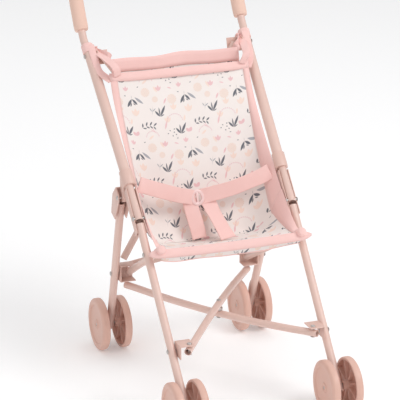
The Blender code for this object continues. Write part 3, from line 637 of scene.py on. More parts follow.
def end_centres(node):
    """The middles of a straight tube's two end rings, lowest first."""
    points = [v.co.copy() for v in frame["nodes"][node].data.vertices]
    middle = sum(points, Vector()) / len(points)
    far = max(points, key=lambda p: (p - middle).length)
    axis = (far - middle).normalized()
    for _ in range(3):
        reach = [(p - middle).dot(axis) for p in points]
        low, high = min(reach), max(reach)
        near_end = 0.005 * (high - low) + 0.4 * MM
        ends = []
        for limit in (low, high):
            ring = [p for p, r in zip(points, reach) if abs(r - limit) < near_end]
            ends.append(Vector([(min(p[i] for p in ring) + max(p[i] for p in ring)) / 2 for i in range(3)]))
        axis = (ends[1] - ends[0]).normalized()
    return sorted(ends, key=lambda p: p.z)


def joint_axis(name):
    """The unit axis of one of the frame's joints."""
    return Vector(next(joint["axis"] for joint in frame["joints"] if joint["name"] == name)).normalized()


print("a front leg runs between", [tuple(round(c, 3) for c in p) for p in end_centres("front_leg_left")])

# %% [markdown]
# ## Tubes
# All the straight tubes are drawn thin steel. Their middles are read from the solids' end rings, so
# each smooth tube lies exactly where the faceted one was. The crossed tubes bow gently so that one
# passes over the other, and the handle tubes bend back to the grips.

# %% Straight tubes
THIN = 5.5 * MM
THICK = 7.3 * MM
BRACE = 5.0 * MM
WALL = 1.0 * MM
for word in SIDES:
    for node, body, outer, wall in ((f"front_leg_{word}", f"front_{word}", THIN, WALL),
                                    (f"rear_leg_{word}", f"rear_{word}", THIN, WALL),
                                    (f"upper_tube_{word}", f"upper_{word}", THICK, 1.5 * MM),
                                    (f"lower_tube_{word}", f"upper_{word}", THIN, WALL)):
        low, high = end_centres(node)
        shape = tube_shape([low, low.lerp(high, 0.5), high], outer, outer - wall)
        give(f"{node}_tube", shape, frame_paint, body, [node])
    low, high = end_centres(f"seat_rail_{word}")
    along = (high - low).normalized()
    points = [low, low + along * 0.7 * MM, low + along * 2.2 * MM]
    points += [high - along * 2.2 * MM, high - along * 0.7 * MM, high]
    shape = capped_shape(points, [BRACE * 0.55, BRACE * 0.86, BRACE, BRACE, BRACE * 0.86, BRACE * 0.55])
    rail = f"seat_rail_{word}"
    give(f"{rail}_tube", shape, frame_paint, rail, [rail])

# %% Crossed tubes
LOWER_BOW = 7.2 * MM
BACK_BOW = 5.5 * MM
STRAIGHT_END = 0.02
low_normal, back_normal = joint_axis("lower_brace_middle"), joint_axis("back_brace_middle")


def brace_curve(node, bow):
    """The middle line of one crossed tube, bowed along a vector at its middle."""
    low, high = end_centres(node)
    points = []
    for step in range(17):
        share = step / 16
        inner = min(max((share - STRAIGHT_END) / (1 - 2 * STRAIGHT_END), 0.0), 1.0)
        points.append(low.lerp(high, share) + bow * (1 - (2 * inner - 1) ** 2))
    return points


for node, bow in (("lower_brace_a", low_normal * LOWER_BOW), ("lower_brace_b", -low_normal * LOWER_BOW),
                  ("back_brace_a", back_normal * BACK_BOW), ("back_brace_b", -back_normal * BACK_BOW)):
    points = brace_curve(node, bow)
    give(f"{node}_tube", tube_shape(points, BRACE, BRACE - WALL), frame_paint, node, [node])
    print(node, "is", round(sum((b - a).length for a, b in zip(points, points[1:])), 3), "m long")

# %% Handle tubes and foam grips
BEND_AT = 0.290
GRIP_LENGTH = 0.112
GRIP_STEPS = 14
GRIP_R = 10.0 * MM
GRIP_LEANS = (math.radians(36), math.radians(22))
for word in SIDES:
    knee = pivot[f"knee_{word}"]
    up = pivot[f"top_bracket_{word}"] - knee
    up = Vector((0.0, up.y, up.z)).normalized()
    grip_low, grip_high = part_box(f"handle_grip_{word}")
    grip_x = (grip_low[0] + grip_high[0]) / 2
    tube_x = sum(p.x for p in end_centres(f"upper_tube_{word}")) / 2
    bend = Vector((grip_x, knee.y + up.y * BEND_AT, knee.z + up.z * BEND_AT))
    curve = [bend]
    for step in range(GRIP_STEPS):
        lean = GRIP_LEANS[0] + (step + 0.5) / GRIP_STEPS * (GRIP_LEANS[1] - GRIP_LEANS[0])
        curve.append(curve[-1] + Vector((0.0, math.sin(lean), math.cos(lean))) * GRIP_LENGTH / GRIP_STEPS)
    start = bend - up * 0.055
    start.x = tube_x + 0.6 * (grip_x - tube_x)
    rise = bend - up * 0.010
    rise.x = start.x + 0.8 * (grip_x - start.x)
    tube_points = [start, rise, bend - up * 0.004, bend + (curve[1] - bend) * 0.3] + curve[1:10]
    give(f"handle_{word}_tube", tube_shape(tube_points, THIN, THIN - WALL), frame_paint, f"upper_{word}",
         [f"handle_tube_{word}"])
    tip = (curve[-1] - curve[-2]).normalized()
    foot = curve[1] + (curve[2] - curve[1]) * 0.35
    points = [foot, foot + (curve[2] - foot) * 0.08, foot + (curve[2] - foot) * 0.3] + curve[2:]
    radii = [8.0 * MM, 9.2 * MM, 9.6 * MM] + [GRIP_R] * len(curve[2:])
    for turn in range(1, 8):
        angle = math.radians(90 * turn / 7.5)
        points.append(curve[-1] + tip * (4.0 * MM + GRIP_R * math.sin(angle)))
        radii.append(GRIP_R * math.cos(angle))
    give(f"grip_{word}_foam", capped_shape(points, radii, 40), grip_foam, f"upper_{word}",
         [f"handle_grip_{word}"])
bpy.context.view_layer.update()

# %% [markdown]
# ## Brackets, collars and links
# These are the moulded or pressed pieces. The solids already have the right shape, so each is copied,
# merged, cleaned of the triangles across its flat faces and given a fine bevel.


# %% Softened copies of the brackets
def soften(node, body, width):
    """A copy of a moulded solid with its sharp edges bevelled."""
    bm = bmesh.new()
    bm.from_mesh(frame["nodes"][node].data)
    bmesh.ops.remove_doubles(bm, verts=bm.verts, dist=0.01 * MM)
    bmesh.ops.dissolve_limit(bm, angle_limit=math.radians(1.0), verts=bm.verts, edges=bm.edges)
    sharp = [e for e in bm.edges if len(e.link_faces) == 2 and e.calc_face_angle(0.0) > math.radians(50)]
    long_enough = [e for e in sharp if e.calc_length() > 1.2 * MM]
    bmesh.ops.bevel(bm, geom=long_enough, offset=width, offset_type="OFFSET", affect="EDGES", segments=2,
                    profile=0.5, material=-1, clamp_overlap=True)
    give(f"{node}_moulding", bm, bracket_plastic, body, [node], angle=35.0)


for word in SIDES:
    for kind, body in (("knee_channel", "front"), ("hip_bracket", "rear"), ("rear_bracket", "rear_bracket"),
                       ("front_bracket", "front_bracket"), ("top_bracket", "top_bracket"),
                       ("cross_link", "cross_link"), ("hip_collar", "upper")):
        soften(f"{kind}_{word}", f"{body}_{word}", 0.30 * MM)

# %% [markdown]
# ## Rivets, pins and axles
# Tubular rivets hold every hinge: a low dome with a small dimple on each side. The frame's solids have
# the main ones. The front brackets and the front ends of the lower crossed tubes get theirs here.


# %% Rivets
HEAD = 3.3 * MM
BRACKET_RIVET_IN, BRACKET_RIVET_OUT = 8.3 * MM, 6.9 * MM
TONGUE_RIVET_UNDER, TONGUE_RIVET_OVER = 6.6 * MM, 10.6 * MM


def rivet_shape(first, last):
    """A rivet from the outside of one head to the outside of the other."""
    axis = last - first
    length = axis.length
    dome = [(0.35 * MM, 0.0), (0.35 * MM, 0.9 * MM), (0.0, 1.3 * MM), (0.15 * MM, 2.4 * MM),
            (0.7 * MM, 3.1 * MM), (1.25 * MM, HEAD), (1.3 * MM, 1.8 * MM)]
    profile = dome + [(length - along, radius) for along, radius in dome[::-1]]
    return turned_shape(profile, first, axis, 24)


def axis_span(node, axis_index):
    """The two end points of a pin along one of the frame's axes."""
    low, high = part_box(node)
    middle = [(a + b) / 2 for a, b in zip(low, high)]
    first, last = Vector(middle), Vector(middle)
    first[axis_index], last[axis_index] = low[axis_index], high[axis_index]
    return first, last


for word, side in SIDES.items():
    for kind, body in (("knee_rivet", "front"), ("seat_rail_rivet", "front"), ("hip_rivet", "rear"),
                       ("rear_bracket_rivet", "rear"), ("top_bracket_rivet", "upper")):
        node = f"{kind}_{word}"
        first, last = axis_span(node, 0)
        give(f"{node}_dome", rivet_shape(first, last), rivet_steel, f"{body}_{word}", [node])
    place = pivot[f"front_bracket_{word}"]
    inner = place + Vector((-side * BRACKET_RIVET_IN, 0, 0))
    outer = place + Vector((side * BRACKET_RIVET_OUT, 0, 0))
    give(f"front_bracket_rivet_{word}", rivet_shape(inner, outer), rivet_steel, f"front_{word}")

brace_front = pivot["lower_brace_front"]
for word, side in SIDES.items():
    place = Vector((side * abs(brace_front.x), brace_front.y, brace_front.z))
    below, above = place - low_normal * TONGUE_RIVET_UNDER, place + low_normal * TONGUE_RIVET_OVER
    give(f"brace_front_rivet_{word}", rivet_shape(below, above), rivet_steel, f"front_bracket_{word}")

# %% Pins through the crossings, and axles
for node, body, normal, half in (("lower_brace_pin", "lower_brace_a", low_normal, 13.8 * MM),
                                 ("back_brace_pin", "back_brace_a", back_normal, 12.1 * MM)):
    low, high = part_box(node)
    middle = Vector([(a + b) / 2 for a, b in zip(low, high)])
    shape = rivet_shape(middle - normal * half, middle + normal * half)
    if node == "lower_brace_pin":
        washer = [(-1.8 * MM, 2.0 * MM), (-1.8 * MM, 5.0 * MM), (-1.4 * MM, 5.4 * MM), (1.4 * MM, 5.4 * MM),
                  (1.8 * MM, 5.0 * MM), (1.8 * MM, 2.0 * MM)]
        merge_into(shape, turned_shape(washer, middle, normal, 32, closed=True))
    give(f"{node}_dome", shape, rivet_steel, body, [node])

for place in ("front", "rear"):
    for word in SIDES:
        node = f"{place}_{word}_axle"
        first, last = axis_span(node, 0)
        length = (last - first).length
        profile = [(0.0, 0.0), (0.0, 1.6 * MM), (0.5 * MM, 2.2 * MM), (length - 0.5 * MM, 2.2 * MM),
                   (length, 1.6 * MM), (length, 0.0)]
        give(f"{node}_pin", turned_shape(profile, first, last - first, 24), rivet_steel, f"{place}_{word}",
             [node])
print("axles made")

# %% [markdown]
# ## Wheels
# Each wheel is one moulding: a closed, dished outer face with a raised rim, a plain tread, and an open
# inner side with a hub and ribs. It is a spun profile, and the ribs are thin slabs added to it.

# %% Wheels
RIBS = 8
RIB_SIZE = (5.6 * MM, 1.5 * MM, 27.6 * MM)
RIB_FROM_FACE, RIB_FROM_AXLE = 6.4 * MM, 19.4 * MM
# (depth from the outer face, radius) in millimetres: hub, dished face, rim, tread, then the inner side
wheel_profile = [(1.2, 2.6), (1.2, 4.2), (0.7, 4.9), (0.7, 6.2), (1.3, 7.0), (1.9, 7.6), (2.1, 9.0),
                 (2.1, 26.8), (1.7, 27.8), (0.6, 28.6), (0.2, 29.6), (0.0, 31.0), (0.1, 33.4), (0.5, 35.2),
                 (1.4, 36.6), (2.8, 37.4), (5.9, 37.5), (9.2, 37.4), (10.4, 36.9), (11.0, 36.0),
                 (11.0, 34.6), (10.6, 33.8), (6.0, 33.3), (4.4, 32.4), (3.9, 31.0), (3.8, 8.2), (4.3, 6.8),
                 (6.0, 6.3), (15.9, 5.6), (16.3, 5.2), (16.3, 2.6)]
for place in ("front", "rear"):
    for word in SIDES:
        for name, facing in (("left", -1), ("right", 1)):
            node = f"{place}_{word}_wheel_{name}"
            low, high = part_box(node)
            outer_x = low[0] if facing < 0 else high[0]
            centre = Vector((outer_x, (low[1] + high[1]) / 2, (low[2] + high[2]) / 2))
            inward = Vector((-facing, 0.0, 0.0))
            profile = [(along * MM, radius * MM) for along, radius in wheel_profile]
            shape = turned_shape(profile, centre, inward, 64, closed=True)
            for rib in range(RIBS):
                turn = Matrix.Rotation(math.tau * (rib + 0.5) / RIBS, 4, "X")
                slab = Matrix.Translation(centre + inward * RIB_FROM_FACE) @ turn
                slab = slab @ Matrix.Translation((0.0, 0.0, RIB_FROM_AXLE))
                bmesh.ops.create_cube(shape, size=1.0, matrix=slab @ Matrix.Diagonal((*RIB_SIZE, 1.0)))
            give(f"{node}_moulding", shape, wheel_plastic, node, [node], angle=28.0)

# %% [markdown]
# ## The seat's cloth
# The seat is one hammock of printed cotton. Its back is tied by tapes to a loop near the top of each
# upper tube, its sides are pulled straight beside the frame, and its middle sags into a deep seat. A
# pink fold closes the front edge. A sheet like this is a grid whose points follow two curves: the line
# of the side edge and the line of the sagging middle. The sag decides how the points between them
# lean to the one or the other. The back and the seat ride on different bodies, so the cloth is cut
# along the crease where it folds, and the two halves meet there with a small overlap.

# %% Lines that shape the seat
def soft_curve(points, steps_between):
    """Points along a smooth curve that passes through every given point."""
    ends = [points[0] * 2 - points[1]] + points + [points[-1] * 2 - points[-2]]
    fine = []
    for a, b, c, d in zip(ends, ends[1:], ends[2:], ends[3:]):
        for step in range(steps_between):
            t = step / steps_between
            fine.append(0.5 * ((2 * b) + (c - a) * t + (2 * a - 5 * b + 4 * c - d) * t ** 2
                               + (3 * b - a - 3 * c + d) * t ** 3))
    fine.append(points[-1])
    return fine


def smooth_line(points, steps):
    """Evenly spaced points on a soft curve through side-view points (y from the rear axle, z)."""
    fine = soft_curve([Vector((0.0, y, z)) for y, z in points], 16)
    lengths = [0.0]
    for a, b in zip(fine, fine[1:]):
        lengths.append(lengths[-1] + (b - a).length)
    picked, at = [], 0
    for step in range(steps + 1):
        want = lengths[-1] * step / steps
        while at < len(fine) - 2 and lengths[at + 1] < want:
            at += 1
        share = (want - lengths[at]) / max(lengths[at + 1] - lengths[at], 1e-9)
        picked.append(fine[at].lerp(fine[at + 1], min(share, 1.0)))
    return [side_view(p.y, p.z) for p in picked]


def line_length(points):
    """How long a line of points is."""
    return sum((b - a).length for a, b in zip(points, points[1:]))


SEAT_HALF = 0.1015
BACK_LINE = [(-0.103, 0.1865), (-0.0935, 0.1925), (-0.081, 0.213), (-0.056, 0.268), (-0.028, 0.335),
             (0.0, 0.4047)]
BACK_EDGE = [(-0.135, 0.243), (-0.120, 0.256), (-0.096, 0.280), (-0.060, 0.316), (-0.020, 0.362),
             (0.004, 0.4047)]
PAN_LINE = [(-0.2035, 0.2105), (-0.1985, 0.2130), (-0.178, 0.2050), (-0.150, 0.1960), (-0.122, 0.1885),
            (-0.096, 0.1850)]
PAN_EDGE = [(-0.2035, 0.2125), (-0.1985, 0.2150), (-0.186, 0.2170), (-0.168, 0.2250), (-0.148, 0.2370),
            (-0.127, 0.2520)]
ACROSS, UP_BACK, ALONG_PAN = 72, 88, 44
TO_SITTER = Vector((0.0, -0.93, 0.37))


def sag_share(x):
    """0 at the taut side edge, 1 over the sagging middle."""
    u = min(abs(x) / SEAT_HALF, 1.0)
    return 1.0 - u ** 7


def sheet_point(middle_line, edge_line, share, x):
    """A point of the hammock, from its share of the way up and its distance from the middle."""
    row = min(max(share, 0.0), 1.0) * (len(middle_line) - 1)
    low = min(int(row), len(middle_line) - 2)
    middle = middle_line[low].lerp(middle_line[low + 1], row - low)
    edge = edge_line[low].lerp(edge_line[low + 1], row - low)
    place = edge.lerp(middle, sag_share(x))
    place.x = x
    return place


def hammock(middle_line, edge_line, start):
    """A grid between the middle line and the edge line, with UVs in metres that begin at a height."""
    bm = bmesh.new()
    made = bmesh.ops.create_grid(bm, x_segments=ACROSS, y_segments=len(middle_line) - 1, size=1.0)
    uv = bm.loops.layers.uv.new("UVMap")
    total = line_length(middle_line)
    for vert in made["verts"]:
        x, share = vert.co.x * SEAT_HALF, (vert.co.y + 1) / 2
        for loop in vert.link_loops:
            loop[uv].uv = (x, start + total * share)
        vert.co = sheet_point(middle_line, edge_line, share, x)
    return bm


back_middle, back_edge = smooth_line(BACK_LINE, UP_BACK), smooth_line(BACK_EDGE, UP_BACK)
pan_middle, pan_edge = smooth_line(PAN_LINE, ALONG_PAN), smooth_line(PAN_EDGE, ALONG_PAN)
back_length, pan_length = line_length(back_middle), line_length(pan_middle)
print("the back is", round(back_length, 3), "m up the middle and the seat", round(pan_length, 3), "m deep")


# %% Soft ripples in the cloth
def ripples(place, up):
    """Small dents and drag lines in metres, the same every run."""
    dents = wander.noise(Vector((place.x * 16.0, up * 10.0, 3.1)))
    drags = wander.noise(Vector((place.x * 34.0 + up * 12.0, up * 7.0, 8.4)))
    return 2.2 * MM * dents + 1.1 * MM * drags


EDGES_STILL = 0.012


def ripple_sheet(bm, ends_still):
    """Push the sheet's points along their normals, least near its sides and its two ends."""
    uv = bm.loops.layers.uv.active
    bm.normal_update()
    moves = []
    values = [vert.link_loops[0][uv].uv.copy() for vert in bm.verts]
    low, high = min(v.y for v in values), max(v.y for v in values)
    for vert, value in zip(bm.verts, values):
        near = min((SEAT_HALF - abs(value.x)) / EDGES_STILL, (value.y - low) / ends_still[0],
                   (high - value.y) / ends_still[1])
        strength = min(max(near, 0.0), 1.0)
        moves.append(vert.normal * ripples(vert.co, value.y) * strength)
    for vert, move in zip(bm.verts, moves):
        vert.co += move


CLOTH = 0.9 * MM


def cloth_piece(name, bm, look, body, replaced=(), thickness=CLOTH):
    """A sheet made into a piece with a live thickness."""
    piece = give(name, bm, look, body, replaced, angle=60.0)
    solid = piece.modifiers.new("thickness", "SOLIDIFY")
    solid.thickness = thickness
    solid.offset = 0.0
    return piece


back_sheet = hammock(back_middle, back_edge, pan_length)
ripple_sheet(back_sheet, ends_still=(0.03, 0.012))
seat_back = cloth_piece("seat_back_cloth", back_sheet, print_cloth, "upper_left",
                        ["seat_back"])
pan_sheet = hammock(pan_middle, pan_edge, 0.0)
ripple_sheet(pan_sheet, ends_still=(0.035, 0.03))
seat_pan = cloth_piece("seat_pan_cloth", pan_sheet, print_cloth, "seat_rail_left",
                       ["seat_pan"])
print("seat cloth made")

# %% [markdown]
# ## Binding, hem and skirt
# The raw edges of the cotton are bound with folded pink tape, and a fold of pink runs along the front
# of the seat with a printed skirt below it. A binding follows the sheet's edge, so it is a strip that
# starts a little way in, folds over the edge and comes back, just proud of the cloth on both faces.


# %% Strips of cloth
def strip(lines, across_values):
    """Skin rows of points; UVs run along the rows and across them, in metres."""
    bm = bmesh.new()
    uv = bm.loops.layers.uv.new("UVMap")
    columns, rows = len(lines[0]), len(lines)
    made = bmesh.ops.create_grid(bm, x_segments=columns - 1, y_segments=rows - 1, size=1.0)
    along = [0.0]
    middle = lines[rows // 2]
    for a, b in zip(middle, middle[1:]):
        along.append(along[-1] + (b - a).length)
    for vert in made["verts"]:
        column = round((vert.co.x + 1) / 2 * (columns - 1))
        row = round((vert.co.y + 1) / 2 * (rows - 1))
        for loop in vert.link_loops:
            loop[uv].uv = (along[column], across_values[row])
        vert.co = lines[row][column]
    return bm


def wrapped_rows(inner_row, edge_row, outward, proud):
    """Seven rows that fold a tape over an edge: front face, fold and back face."""
    rows = []
    for at_edge, lift in ((0.0, proud), (0.55, proud), (1.0, proud * 0.7), (1.12, 0.0), (1.0, -proud * 0.7),
                          (0.55, -proud), (0.0, -proud)):
        rows.append([a.lerp(b, at_edge) + out * lift for a, b, out in zip(inner_row, edge_row, outward)])
    return rows


def sheet_normals(middle_line, edge_line, shares, x):
    """Unit normals of the hammock, towards the sitter, along a column."""
    found = []
    for share in shares:
        here = sheet_point(middle_line, edge_line, share, x)
        up = sheet_point(middle_line, edge_line, min(share + 0.02, 1.0), x)
        up = up - sheet_point(middle_line, edge_line, max(share - 0.02, 0.0), x)
        side_point = sheet_point(middle_line, edge_line, share, x * 0.985)
        across = (here - side_point) * (1 if x > 0 else -1)
        normal = across.cross(up).normalized()
        found.append(normal if normal.z - normal.y > 0 else -normal)
    return found


BINDING = 8.5 * MM
PROUD = 1.25 * MM
BINDING_ROWS = [0.0, 0.35, 0.62, 0.68, 0.74, 1.0, 1.35]
binding_across = [BINDING * value for value in BINDING_ROWS]
for word, side in SIDES.items():
    for part, middle_line, edge_line, body, count in (("back", back_middle, back_edge, "upper_left", 60),
                                                      ("seat", pan_middle, pan_edge, "seat_rail_left", 30)):
        shares = [i / count for i in range(count + 1)]
        inner = [sheet_point(middle_line, edge_line, s, side * (SEAT_HALF - BINDING)) for s in shares]
        outer = [sheet_point(middle_line, edge_line, s, side * SEAT_HALF) for s in shares]
        outward = sheet_normals(middle_line, edge_line, shares, side * (SEAT_HALF - BINDING * 0.5))
        rows = wrapped_rows(inner, outer, outward, PROUD)
        cloth_piece(f"{part}_binding_{word}", strip(rows, binding_across), pink_cloth, body,
                    thickness=0.5 * MM)
print("side bindings made")

# %% Top hem, front fold and skirt
HEM = 11.0 * MM
hem_share = HEM / back_length
columns = [SEAT_HALF * 1.012 * (i / 40 * 2 - 1) for i in range(41)]
inner = [sheet_point(back_middle, back_edge, 1.0 - hem_share, x) for x in columns]
outer = [sheet_point(back_middle, back_edge, 1.0, x) for x in columns]
outward = [TO_SITTER] * len(columns)
rows = wrapped_rows(inner, outer, outward, 1.5 * MM)
cloth_piece("top_hem", strip(rows, [HEM * v for v in BINDING_ROWS]), pink_cloth, "upper_left",
            thickness=0.6 * MM)

FOLD_X = 0.1170
FOLD_Y, FOLD_Z = -0.2000, 0.2095
fold_columns = [FOLD_X * (i / 60 * 2 - 1) for i in range(61)]


def across_front(y, z):
    """A row across the front fold, which dips between the rails and narrows into the two corners."""
    row = []
    for x in fold_columns:
        u = abs(x) / FOLD_X
        sag = 1 - u ** 2
        narrow = 1 - 0.75 * max(0.0, (u - 0.86) / 0.14) ** 2
        fold_y, fold_z = FOLD_Y + (y - FOLD_Y) * narrow, FOLD_Z + (z - FOLD_Z) * narrow
        row.append(side_view(fold_y + 0.0015 * sag, fold_z - 0.0018 * sag + 0.0015 * u ** 4, x))
    return row


fold_rows = [across_front(-0.1925, 0.2136), across_front(-0.1985, 0.2160), across_front(-0.2030, 0.2150),
             across_front(-0.2055, 0.2118), across_front(-0.2062, 0.2085), across_front(-0.2050, 0.2058)]
cloth_piece("front_fold", strip(fold_rows, [0.0, 0.005, 0.009, 0.0125, 0.016, 0.019]), pink_cloth,
            "seat_rail_left", thickness=0.9 * MM)

SKIRT_X = 0.1000
SKIRT_STEPS = 8
skirt_columns = [SKIRT_X * (i / 60 * 2 - 1) for i in range(61)]


def skirt_row(step):
    """A row across the skirt, which falls from the fold in small waves."""
    share = step / SKIRT_STEPS
    row = []
    for x in skirt_columns:
        wave = math.sin(x * 95.0) * 0.0014 + math.sin(x * 41.0 + 1.0) * 0.0012
        u = abs(x) / SKIRT_X
        drop = 0.0105 + 0.0010 * math.sin(x * 60.0 + 0.5) - 0.0045 * u ** 4
        sag = 1 - u ** 2
        y = -0.2045 + 0.0015 * sag + 0.0060 * share + wave * share
        row.append(side_view(y, 0.2078 - 0.0018 * sag - drop * share, x))
    return row


skirt_rows = [skirt_row(step) for step in range(SKIRT_STEPS + 1)]
skirt = strip(skirt_rows, [-0.004 - 0.0105 * step / SKIRT_STEPS for step in range(SKIRT_STEPS + 1)])
cloth_piece("front_skirt", skirt, print_cloth, "seat_rail_left")
hem_rows = [[p.lerp(q, share) + Vector((0.0, -0.0004, 0.0)) for p, q in zip(skirt_rows[-2], skirt_rows[-1])]
            for share in (0.1, 0.6, 1.02)]
cloth_piece("skirt_hem", strip(hem_rows, [0.0, 0.001, 0.002]), pink_cloth, "seat_rail_left",
            thickness=1.6 * MM)
print("hem, fold and skirt made")

# %% [markdown]
# ## Sleeves on the rail tips
# The front corners of the seat are pink pockets pulled over the ends of the two rails. Each is a short
# tube with a closed, rounded front, a little larger than the rail.

# %% Rail sleeves
SLEEVE_ROUND = 7.0 * MM
for word in SIDES:
    low, high = end_centres(f"seat_rail_{word}")
    along = (high - low).normalized()
    points, radii = [], []
    for reach, radius in ((-0.0245, 5.7), (-0.0215, 6.1), (-0.016, 6.3), (-0.010, 6.3), (-0.004, 6.2),
                          (0.0002, 5.9), (0.0016, 5.0), (0.0024, 3.0)):
        points.append(high + along * reach + Vector((0.0, 0.0, 0.0004 * math.sin(reach * 900))))
        radii.append(radius * MM)
    sleeve = capped_shape(points, radii, 32)
    uv = sleeve.loops.layers.uv.new("UVMap")
    for face in sleeve.faces:
        for loop in face.loops:
            offset = loop.vert.co - high
            loop[uv].uv = (offset.dot(along), math.atan2(offset.z, offset.x) * SLEEVE_ROUND)
    give(f"rail_sleeve_{word}", sleeve, pink_cloth, f"seat_rail_{word}")
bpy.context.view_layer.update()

# %% [markdown]
# ## Harness
# Four pink bands meet at a small plastic ring in the child's lap: two come round from the sides of the
# seat and two come up from the pan. Webbing is a long thin strip, made by placing rows of points along
# a route and giving it a thickness. The ring is a profile spun round, with a bar across its hole, and
# it is stretched a little in height.


# %% Bands
BAND_ROWS = (-0.5, -0.44, -0.38, -0.13, 0.13, 0.38, 0.44, 0.5)
BAND_THICKNESS = 1.1 * MM


def band_rows(route, width, across_way, twist):
    """Rows across a flat band that follows a soft curve through its route points."""
    fine = soft_curve(route, 8)
    ways = directions(fine)
    rows = []
    for place in BAND_ROWS:
        row = []
        for i, (point, way) in enumerate(zip(fine, ways)):
            across = (across_way - way * across_way.dot(way)).normalized()
            turn = Matrix.Rotation(twist * math.sin(math.pi * i / (len(fine) - 1)), 4, way)
            across = turn @ across
            normal = way.cross(across)
            wave = math.sin(i * 0.9 + place * 5) * 0.0003
            row.append(point + across * width * place + normal * (wave - 0.0012 * (place * 2) ** 2 * 0.4))
        rows.append(row)
    return rows


def band(name, route, width, across_way, twist):
    """A length of pink webbing along a route."""
    shape = strip(band_rows(route, width, across_way, twist), [width * place for place in BAND_ROWS])
    cloth_piece(name, shape, pink_cloth, "upper_left", thickness=BAND_THICKNESS)


ring_centre = side_view(-0.0875, 0.2425, -0.0075)
across_up = Vector((0.0, 0.30, 1.0)).normalized()
across_side = Vector((1.0, 0.0, 0.0))
band("waist_band_left", [side_view(-0.1015, 0.2770, -0.0965), side_view(-0.1010, 0.2700, -0.0800),
                         side_view(-0.0985, 0.2560, -0.0450), side_view(-0.0910, 0.2460, -0.0180),
                         side_view(-0.0885, 0.2435, -0.0105)], 0.0210, across_up, 0.25)
band("waist_band_right", [side_view(-0.0990, 0.2730, 0.0965), side_view(-0.0985, 0.2660, 0.0800),
                          side_view(-0.0980, 0.2550, 0.0420), side_view(-0.0915, 0.2470, 0.0100),
                          side_view(-0.0885, 0.2440, -0.0020)], 0.0215, across_up, -0.25)
band("crotch_band_left", [side_view(-0.0885, 0.2420, -0.0190), side_view(-0.0960, 0.2260, -0.0170),
                          side_view(-0.1060, 0.2070, -0.0140), side_view(-0.1120, 0.1920, -0.0120)],
     0.0210, across_side, 0.15)
band("crotch_band_right", [side_view(-0.0885, 0.2380, 0.0080), side_view(-0.1010, 0.2270, 0.0110),
                           side_view(-0.1210, 0.2090, 0.0170), side_view(-0.1370, 0.1965, 0.0210)],
     0.0230, across_side, -0.2)

# %% The ring
RING_FORWARD = 2.6 * MM
RING_STRETCH = 1.18
BAR_SIZE = (3.0 * MM, 14.0 * MM, 1.8 * MM)
ring_profile = [(-1.2 * MM, 6.6 * MM), (-1.2 * MM, 9.0 * MM), (-0.6 * MM, 9.8 * MM), (0.6 * MM, 9.8 * MM),
                (1.2 * MM, 9.0 * MM), (1.2 * MM, 6.6 * MM), (0.6 * MM, 5.9 * MM), (-0.6 * MM, 5.9 * MM)]
ring = turned_shape(ring_profile, ring_centre, TO_SITTER, 48, closed=True)
bar = Matrix.Translation(ring_centre) @ TO_SITTER.to_track_quat("Z", "Y").to_matrix().to_4x4()
made = bmesh.ops.create_cube(ring, size=1.0, matrix=bar @ Matrix.Diagonal((*BAR_SIZE, 1.0)))
bar_edges = list({edge for vert in made["verts"] for edge in vert.link_edges})
bmesh.ops.bevel(ring, geom=bar_edges, offset=0.4 * MM, affect="EDGES", segments=2, profile=0.5, material=-1)
for vert in ring.verts:
    vert.co += TO_SITTER * RING_FORWARD
    vert.co.z = ring_centre.z + (vert.co.z - ring_centre.z) * RING_STRETCH
give("harness_ring", ring, ring_plastic, "upper_left", ["harness"])
print("harness made")

# %% [markdown]
# ## Tape loops
# Near the top of each upper tube a loop of pink tape goes round it. Three tapes are sewn to the loop: a
# short inner one to the top hem, a longer outer one down the tube to the hem's corner, and a rear one
# to the bag. A loop is a short turned sleeve of webbing, and the tapes are bands.

# %% Loops and their tapes
LOOP_AT = 0.2705
TUBE_FOOT_AT = 0.064
LOOP_HALF = 6.5 * MM
LOOP_R = 8.6 * MM
across_hem = Vector((1.0, 0.0, 0.25))
loop_profile = [(-LOOP_HALF, 7.5 * MM), (-LOOP_HALF, LOOP_R - 0.3 * MM), (-0.9 * LOOP_HALF, LOOP_R),
                (-0.3 * LOOP_HALF, LOOP_R - 0.2 * MM), (0.3 * LOOP_HALF, LOOP_R - 0.2 * MM),
                (0.9 * LOOP_HALF, LOOP_R), (LOOP_HALF, LOOP_R - 0.3 * MM), (LOOP_HALF, 7.5 * MM)]


def beside(side, low, along, distance, turn, radius):
    """A point round an upper tube, at a distance above its knee: turn 0 is its inner side, 90 its front."""
    angle = math.radians(turn)
    front = Vector((-1.0, 0.0, 0.0)).cross(along).normalized()
    front = front if front.y < 0 else -front
    inner = Vector((-side, 0.0, 0.0))
    around = (inner * math.cos(angle) + front * math.sin(angle)) * radius
    return low + along * (distance - TUBE_FOOT_AT) + around


